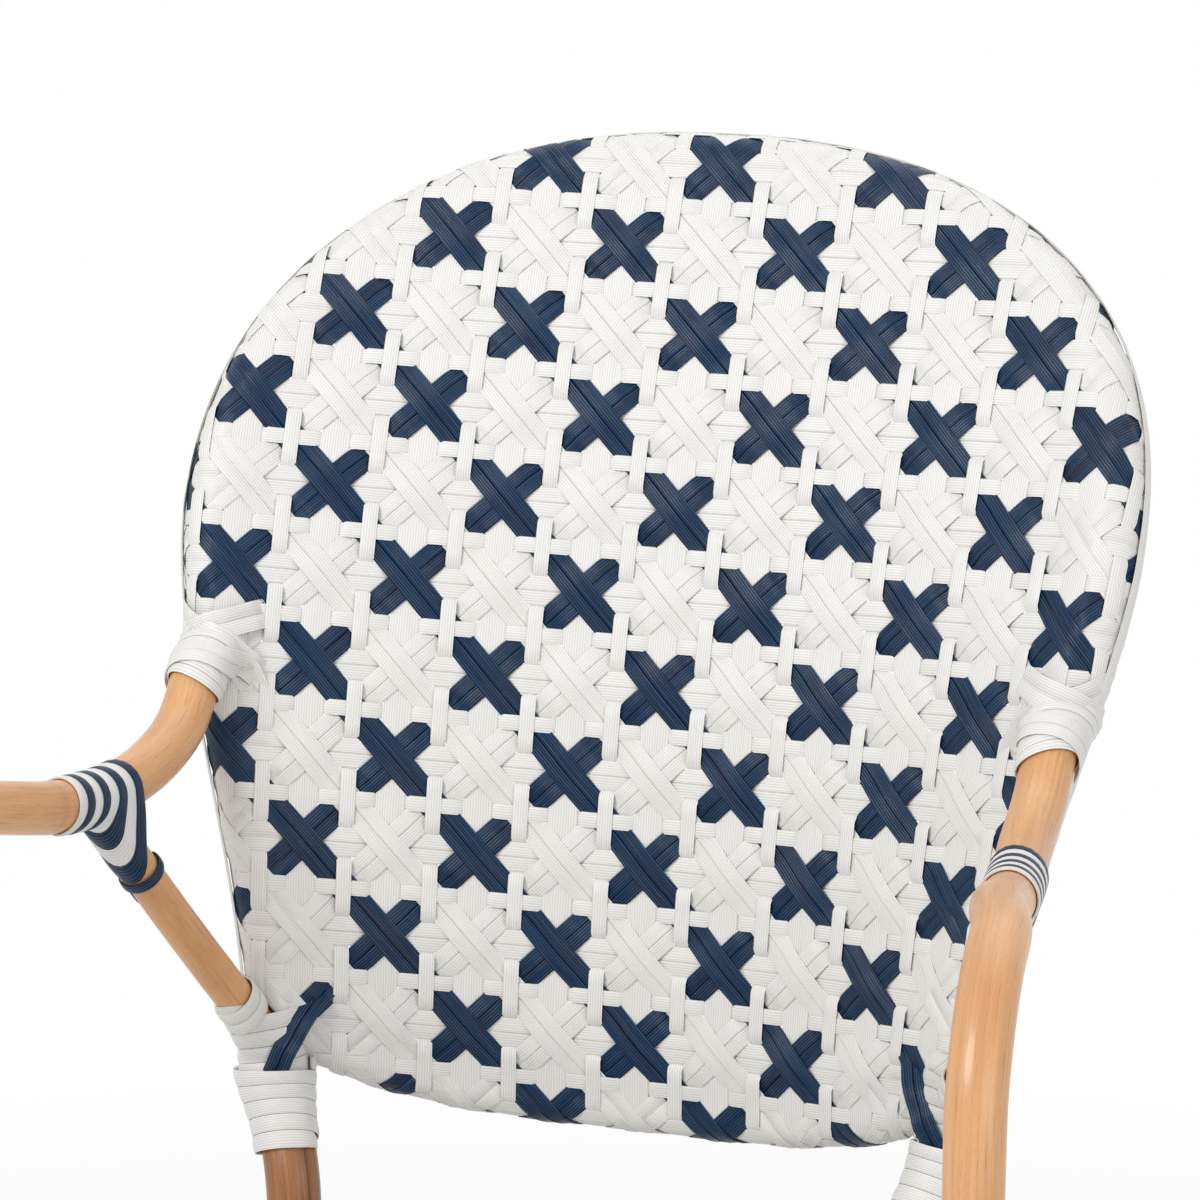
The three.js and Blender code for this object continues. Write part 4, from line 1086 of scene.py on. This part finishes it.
def tee_surface(centre, axis, branch, main_radius, branch_radius, reach, lean=None, route=None):
    """Loops round a branch that spread along the main pole where it is tied to it.

    With a lean, the loops farther out tilt, so that they run farther along the branch on that side.
    With a route, the loops follow it.
    """
    e1 = square_to(branch, axis)
    e2 = np.cross(branch, e1)
    x, y = circle(*np.eye(2)).T
    forward = branch - axis * dot(branch, axis)
    square = dot(forward, forward)
    loops = []
    for share in np.linspace(0, 1, 14):
        ease = share ** 0.8
        along = (TEE_HALF * (1 - ease) + branch_radius * ease) * x
        wide = (main_radius * (1 - ease) + branch_radius * ease) * y
        offset = along[:, None] * e1 + wide[:, None] * e2
        away = offset - axis * (offset @ axis)[:, None]
        half_b = away @ forward
        inside = half_b ** 2 - square * (dot(away, away) - main_radius ** 2)
        pushed = np.where(inside > 0, (-half_b + np.sqrt(np.clip(inside, 0, None))) / square, 0)
        length = np.maximum(TEE_START + (reach - TEE_START) * share, pushed)
        if lean is not None:
            length = length + share * (offset @ lean)
        if route is None:
            loops.append(centre + offset + length[:, None] * branch)
            continue
        point, way = route.at(length)
        e3 = square_to(way, e1)
        loops.append(point + along[:, None] * e3 + wide[:, None] * np.cross(way, e3))
    return Wound(loops)


def swell(loop, centre, way, amount):
    """A loop pushed out on the side that a direction points to."""
    return loop + np.sqrt(np.clip(unit(loop - centre) @ way, 0, 1))[:, None] * way * amount


def laid_strip(soup, points, normals, width):
    """A creased strand along points in space, with the side that shows turned to the normals."""
    across, up = section(CREASED, width)
    along = unit(np.gradient(points, axis=0))
    square = unit(np.cross(normals, along))
    face = np.cross(along, square)
    rings = points[:, None] + square[:, None] * across[:, None] + face[:, None] * up[:, None]
    soup.add(rings, grain_of(across, up, running(points)))


def smoothed(values):
    return (values[:-2] + 2 * values[1:-1] + values[2:]) / 4


# Bindings of the arms
def make_arm_joint(name, side):
    arm, strut = ARMS[side], STRUTS[side]
    front, rear = (arm_length(side, ARM_JOINT[1] + gone) for gone in JOINT_SPAN)
    foot = strut.where(2, ARM_JOINT[2] - JOINT_DROP)
    _, front_way = arm.at(front)
    slant = unit(np.cross(SIDEWAYS, arm.at(rear)[0] - strut.at(foot)[0]))
    slant = slant * np.sign(dot(slant, front_way))
    arm_reach = ARM_POLE + CLEARANCE
    members = [(arm, arm_reach), (strut, STRUT + CLEARANCE)]
    loops = []
    for share in np.linspace(-0.02, 1.02, 40):
        length = front + (rear - front) * share
        point, way = arm.at(length)
        loop = hull_loop(members, point, unit(front_way * (1 - share) + slant * share), SIDEWAYS * side)
        # Above the arm the strut's upper end lifts no turn
        middle, way = arm.at(length + (loop - point) @ way)
        radial = loop - middle
        radial = radial - way * dot(radial, way)[:, None]
        excess = np.clip(1 - arm_reach / np.linalg.norm(radial, axis=1), 0, None)
        loops.append(loop - np.where(radial[:, 2] > 0, excess, 0)[:, None] * radial)
    surface = Wound(loops)
    turns = JOINT_BANDS - 1.0
    white, navy = Soup(), Soup()
    for soup, first in ((white, 0.5 / JOINT_BANDS / 2), (navy, 1.5 / JOINT_BANDS / 2)):
        surface.ribbon(soup, first, first + turns / JOINT_BANDS, turns, begin=0.5 + 0.25 * side, starts=2)
    collar = pole_surface(strut, STRUT + CLEARANCE + 0.2, foot - 9, foot - 2, rows=4)
    collar.ribbon(navy, 0.45, 0.6, 1.1, 5.0, begin=0.6)
    navy.piece("arm_joint_navy_turns_" + name, "arm_joint_binding_" + name, slot="navy_strand")
    white.piece("arm_joint_white_turns_" + name)


def make_arm_hoop(name, side, weave):
    v = ARM_ROOT_V
    root = np.array([flank_u(v), v])
    centre, above, below = (panel_point(side * flank_u(at), at, POLE_DEPTH)
                            for at in (v, v + 0.5, v - 0.5))
    _, branch = ARMS[side].at(14.0)
    surface = tee_surface(centre, unit(above - below), branch, POLE_RIM + 1.0, ARM_POLE + CLEARANCE,
                          ROOT_REACH, lean=-0.4 * side * SIDEWAYS, route=ARMS[side])
    soup = Soup()
    surface.ribbon(soup, 0.08, 0.74, 4.0, begin=0.5)
    surface.ribbon(soup, 0.7, 0.93, 2.0, begin=0.5, lift=0.9)
    for order, ends in enumerate(ROOT_STRANDS[::side]):
        line = np.linspace(*(root + ends), 36)
        near = np.exp(-(np.linalg.norm(line - root - [2, -4], axis=1) / 14.0) ** 2)
        height = -1.6 + (2.8 + order) * smoothstep(2, 9, running(line)) + (11.0 + order) * near
        weave.strand(soup, line * [side, 1], height, CREASED, CROSS)
    # A band round the neck, its tail on the sheet
    points, normals = surface.at(np.linspace(0.86, 0.5, 16), -side * np.linspace(0.34, -0.3, 16) % 1.0)
    points = points + normals * 2.6
    for share in (0.0, 0.35, 0.7, 1.0):
        u, v = root - [9, 14] - np.array([7, 13]) * share
        place = panel_point(side * u, v, -3.0 + 4.4 * share)
        points, normals = np.vstack([points, place]), np.vstack([normals, [0.0, -1.0, 0.2]])
    for _ in range(3):
        points[1:-1], normals[1:-1] = smoothed(points), unit(smoothed(normals))
    laid_strip(soup, points, normals, CROSS)
    soup.piece("arm_hoop_turns_" + name, "arm_hoop_binding_" + name)


# Bindings of the waist
def waist_joint(side, centre, axis, outward):
    """The skin round the post, the strut's foot and the weave's edge."""
    edge = Route([panel_point(*back_plan(side * WAIST_EDGE, b), -1.4) for b in np.arange(-5, -2, 0.5)])
    loops = []
    for rise in np.linspace(*WAIST_SPAN, 24):
        radius = BACK_POLE + CLEARANCE + WAIST_FLARE * smoothstep(6, 16, rise)
        members = [(BACK.half(side > 0), radius), (STRUTS[side], STRUT + CLEARANCE)]
        if rise > 0:
            members.append((edge, 0.7))
        middle = centre + axis * rise
        fade = 1 - smoothstep(0, 26, rise)
        loop = hull_loop(members, middle, axis, SIDEWAYS * side)
        loops.append(swell(loop, middle, outward, WAIST_SWELL * fade if fade > 0.01 else 0))
    return Wound(loops)


def waist_strip(soup, side, joint, centre, axis, outward):
    """The navy strand that comes down from the weave and goes over the joint and under the cuff."""
    line = [panel_point(*back_plan(side * a, -a), depth) for a, depth in WAIST_STRIP]
    foot = centre + outward * 4 + axis * -17 + [0, -10.0, 0]
    line = np.array(line + [line[-1] * (1 - t) + foot * t for t in np.linspace(0.12, 1, 15)])
    number = np.arange(len(line))
    points, normals = joint.loops.reshape(-1, 3), joint.normals.reshape(-1, 3)
    front = normals[:, 1] < -0.15
    gaps = np.linalg.norm((line[:, None] - points[front])[..., [0, 2]], axis=-1)
    weights = 1 / (gaps + 0.5) ** 3
    weights /= weights.sum(axis=1, keepdims=True)
    low = line[:, 2] - centre[2]
    surface_y = weights @ points[front, 1] - 1.5 - 3.4 * smoothstep(-6, 8, low)
    on_joint = (number > 4) * smoothstep(-13, -5, low)
    faced = 0.45 * smoothstep(3, 12, number)[:, None]
    normals = unit(unit(weights @ normals[front]) * faced + np.array([0, -1.0, 0.25]) * (1 - faced))
    line[:, 1] = np.minimum(line[:, 1], line[:, 1] + (surface_y - line[:, 1]) * on_joint)
    for _ in range(2):
        line[4:-1] = smoothed(line[3:])
    laid_strip(soup, line, normals, 0.84 * CROSS)


def make_waist(name, side):
    strut = STRUTS[side]
    centre, axis = leg_station(side, False, STRUT_FOOT)
    axis = axis * np.sign(axis[2])
    outward = unit(np.array([side, -0.3, 0.0]))
    white, navy = Soup(), Soup()
    joint = waist_joint(side, centre, axis, outward)
    joint.ribbon(white, 0.04, 0.96, 5.0, begin=0.5 + 0.25 * side)
    high = strut.where(2, STRUT_FOOT + 34)
    collar = pole_surface(strut, STRUT + CLEARANCE + 0.4, high, high + 16, rows=6)
    collar.ribbon(white, 0.06, 0.94, 2.0, begin=0.5, lift=1.0)
    waist_strip(navy, side, joint, centre, axis, outward)
    loops = []
    for low in np.linspace(*CUFF_SPAN, 14):
        flare = 1 - smoothstep(2, 34, low)
        loop, point = pole_loop(BACK, leg_length(side, False, STRUT_FOOT) + side * low,
                                BACK_POLE + CLEARANCE + WAIST_FLARE * flare, SIDEWAYS * side)
        loops.append(swell(loop, point, outward, 1.5 + 2.4 * flare))
    Wound(loops).ribbon(white, 0.06, 0.94, 5.0, begin=0.5, lift=1.2)
    white.piece("waist_turns_" + name, "waist_binding_" + name)
    navy.piece("waist_navy_turn_" + name, slot="navy_strand")


# Bindings of the seat and the legs
def tee_binding(centre, axis, branch, main, main_radius, length):
    """A stretcher's turns round its end, with a collar on the main pole at either side of it."""
    soup = Soup()
    tee = tee_surface(centre, axis, branch, main_radius + CLEARANCE, STRETCHER + CLEARANCE, TEE_REACH)
    tee.ribbon(soup, 0.08, 0.92, 4.1, RIBBON, begin=0.2)
    for low, high in COLLARS:
        collar = pole_surface(main, main_radius + CLEARANCE, length + low, length + high)
        collar.ribbon(soup, 0.22, 0.78, 2.1, RIBBON, begin=0.3)
    return soup


def seat_binding(leg, radius, centre, up, way, reach):
    """Two crossed windings round a leg and the ring."""
    up = up * np.sign(up[2])
    level = unit(np.cross(way, up))
    members = [(leg, radius + CLEARANCE), (RING, POLE_RIM + 0.4)]
    soup = Soup()
    for layer, diagonal in enumerate((unit(up + level), unit(up - level))):
        normal = unit(np.cross(way, diagonal))
        loops = [hull_loop(members, centre + way * reach / 2 + normal * offset, normal, way)
                 for offset in np.linspace(-BINDING_HALF, BINDING_HALF, 16)]
        Wound(loops).ribbon(soup, 0.1, 0.9, 4.1, RIBBON, lift=0.6 + 1.0 * layer, begin=0.4)
    return soup


def make_leg_bindings(name, side, end):
    at_front = end == "front"
    leg, radius = leg_pole(side, at_front)
    if at_front:
        way, reach, leg_y = np.array([side * TO_CORNER[0], TO_CORNER[1], 0]), FRONT_TO_RING, FRONT_LEG[1]
    else:
        way, reach, leg_y = unit(np.array([-side * WAIST_HALF, -WAIST_BACK, 0])), REAR_TO_RING, WAIST_BACK
    height = float(seat_point(0, leg_y + reach * way[1])[2])
    soup = seat_binding(leg, radius, *leg_station(side, at_front, height), way, reach)
    soup.piece(f"seat_turns_{end}_{name}", f"seat_binding_{end}_{name}")

    leg_point, _ = leg_station(side, at_front, LASHING_HEIGHT)
    members = [(leg, radius + CLEARANCE), (ARCHES[end].half(side > 0), ARCH + CLEARANCE),
               (ARCHES[name].half(at_front), ARCH + CLEARANCE)]
    loops = [hull_loop(members, leg_point + UP * offset, UP, way)
             for offset in np.linspace(-BINDING_HALF, BINDING_HALF, 12)]
    soup = Soup()
    Wound(loops).ribbon(soup, 0.1, 0.9, 4.1, 6.0, begin=0.3)
    soup.piece(f"leg_turns_{end}_{name}", f"leg_lashing_{end}_{name}")

    _, way_out = SIDE_STRETCHERS[side].middle()
    soup = tee_binding(*leg_station(side, at_front, STRETCHER_HEIGHT), -way_out if at_front else way_out,
                       leg, radius, leg_length(side, at_front, STRETCHER_HEIGHT))
    soup.piece(f"stretcher_turns_{end}_{name}", f"stretcher_binding_{end}_{name}")


def make_cross_binding(name, side):
    main = SIDE_STRETCHERS[side]
    _, way = CROSS_STRETCHER.middle()
    soup = tee_binding(*main.middle(), -way * side, main, STRETCHER, main.length / 2)
    soup.piece("cross_turns_" + name, "cross_binding_" + name)


# Glides and screws
GLIDE_PROFILE = np.array([(7.4, 0), (8.5, 0.35), (9, 1.2), (9, 3.6), (8.6, 4.4), (7.5, 4.8), (2.6, 5.0),
                          (2.5, 12)])


def make_glides():
    e1 = unit(np.cross(UP, [0.3, 0.9, 0.2]))
    for end, (x, y) in (("front", FRONT_LEG), ("rear", REAR_FOOT)):
        for name, side in SIDES.items():
            radius, height = GLIDE_PROFILE.T[:, :, None, None]
            rings = np.array([side * x, y, 0]) + radius * circle(e1, np.cross(UP, e1), 28) + height * UP
            soup = Soup()
            soup.add(rings, rings)
            node = f"foot_glide_{end}_{name}"
            soup.piece(node + "_turned", node, slot="nylon", sharp=35)


def dress_screws():
    for name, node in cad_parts.items():
        if "_screw_" in name:
            node.data.materials.clear()
            node.data.materials.append(MATERIALS["steel"])


# Stage
def seen_rays(tree):
    """1 for camera, glossy and transmission rays."""
    camera, glossy, through = (add(tree, "ShaderNodeLightPath").outputs[f"Is {kind} Ray"]
                               for kind in ("Camera", "Glossy", "Transmission"))
    return calc(tree, "MAXIMUM", calc(tree, "MAXIMUM", camera, glossy), through)


def finish_tree(tree, output, share, first, second):
    """Mixes two shaders by a share, for the output of a tree."""
    both = add(tree, "ShaderNodeMixShader", {0: share, 1: first.outputs[0], 2: second.outputs[0]})
    add(tree, output, {"Surface": both.outputs[0]}, is_active_output=True)


def make_stage():
    size = 30.0
    mesh = bpy.data.meshes.new("floor")
    corners = [(x * size, y * size, 0) for x, y in ((-1, -1), (1, -1), (1, 1), (-1, 1))]
    mesh.from_pydata(corners, [], [(0, 1, 2, 3)])
    floor = place_in_scene("floor", mesh)
    material = bpy.data.materials.new("pale_floor")
    material.use_nodes = True
    tree = material.node_tree
    tree.nodes.clear()
    diffuse = add(tree, "ShaderNodeBsdfDiffuse", {"Color": (0.86, 0.86, 0.86, 1)})
    glow = add(tree, "ShaderNodeEmission", {"Color": (1, 1, 1, 1), "Strength": 1.0})
    place = add(tree, "ShaderNodeTexCoord").outputs["Object"]
    away = add(tree, "ShaderNodeVectorMath", {0: place}, operation="LENGTH").outputs["Value"]
    share = calc(tree, "MULTIPLY", seen_rays(tree), ramp(tree, away, 0.45, 1.5))
    finish_tree(tree, "ShaderNodeOutputMaterial", share, diffuse, glow)
    mesh.materials.append(material)


def make_world():
    world = bpy.data.worlds.new("studio")
    world.use_nodes = True
    bpy.context.scene.world = world
    tree = world.node_tree
    tree.nodes.clear()
    soft, white = (add(tree, "ShaderNodeBackground", {"Color": (1, 1, 1, 1), "Strength": strength})
                   for strength in (0.5, 1.0))
    finish_tree(tree, "ShaderNodeOutputWorld", seen_rays(tree), soft, white)


def turned(way):
    return way.to_track_quat("-Z", "Y").to_euler()


def area_lamp(name, place, size, power):
    light = bpy.data.lights.new(name, "AREA")
    light.shape = "DISK"
    light.size = size
    light.energy = power
    lamp = place_in_scene(name, light)
    lamp.location = place
    lamp.rotation_euler = turned(Vector((0, 0.05, 0.6)) - Vector(place))


def make_camera():
    data = bpy.data.cameras.new("camera")
    data.lens = 135
    data.sensor_width = 36
    camera = place_in_scene("camera", data)
    camera.location = (0.5446, -1.6533, 1.2220)
    camera.rotation_euler = turned(Vector((-0.292, 0.9221, -0.2539)))
    bpy.context.scene.camera = camera


make_camera()
make_poles()
back_weave = make_back_weave()
make_seat_weave()
for side_name, side_sign in SIDES.items():
    make_arm_joint(side_name, side_sign)
    make_arm_hoop(side_name, side_sign, back_weave)
    make_waist(side_name, side_sign)
for side_name, side_sign in SIDES.items():
    for leg_end in ("front", "rear"):
        make_leg_bindings(side_name, side_sign, leg_end)
for side_name, side_sign in SIDES.items():
    make_cross_binding(side_name, side_sign)
make_glides()
dress_screws()
make_stage()
make_world()
area_lamp("key", (-1.3, -2.2, 2.7), 1.6, 62)
area_lamp("fill", (2.6, -1.6, 1.6), 2.2, 26)
area_lamp("top", (0.2, 1.5, 3.2), 3.2, 30)
bpy.context.scene.view_settings.view_transform = "Standard"
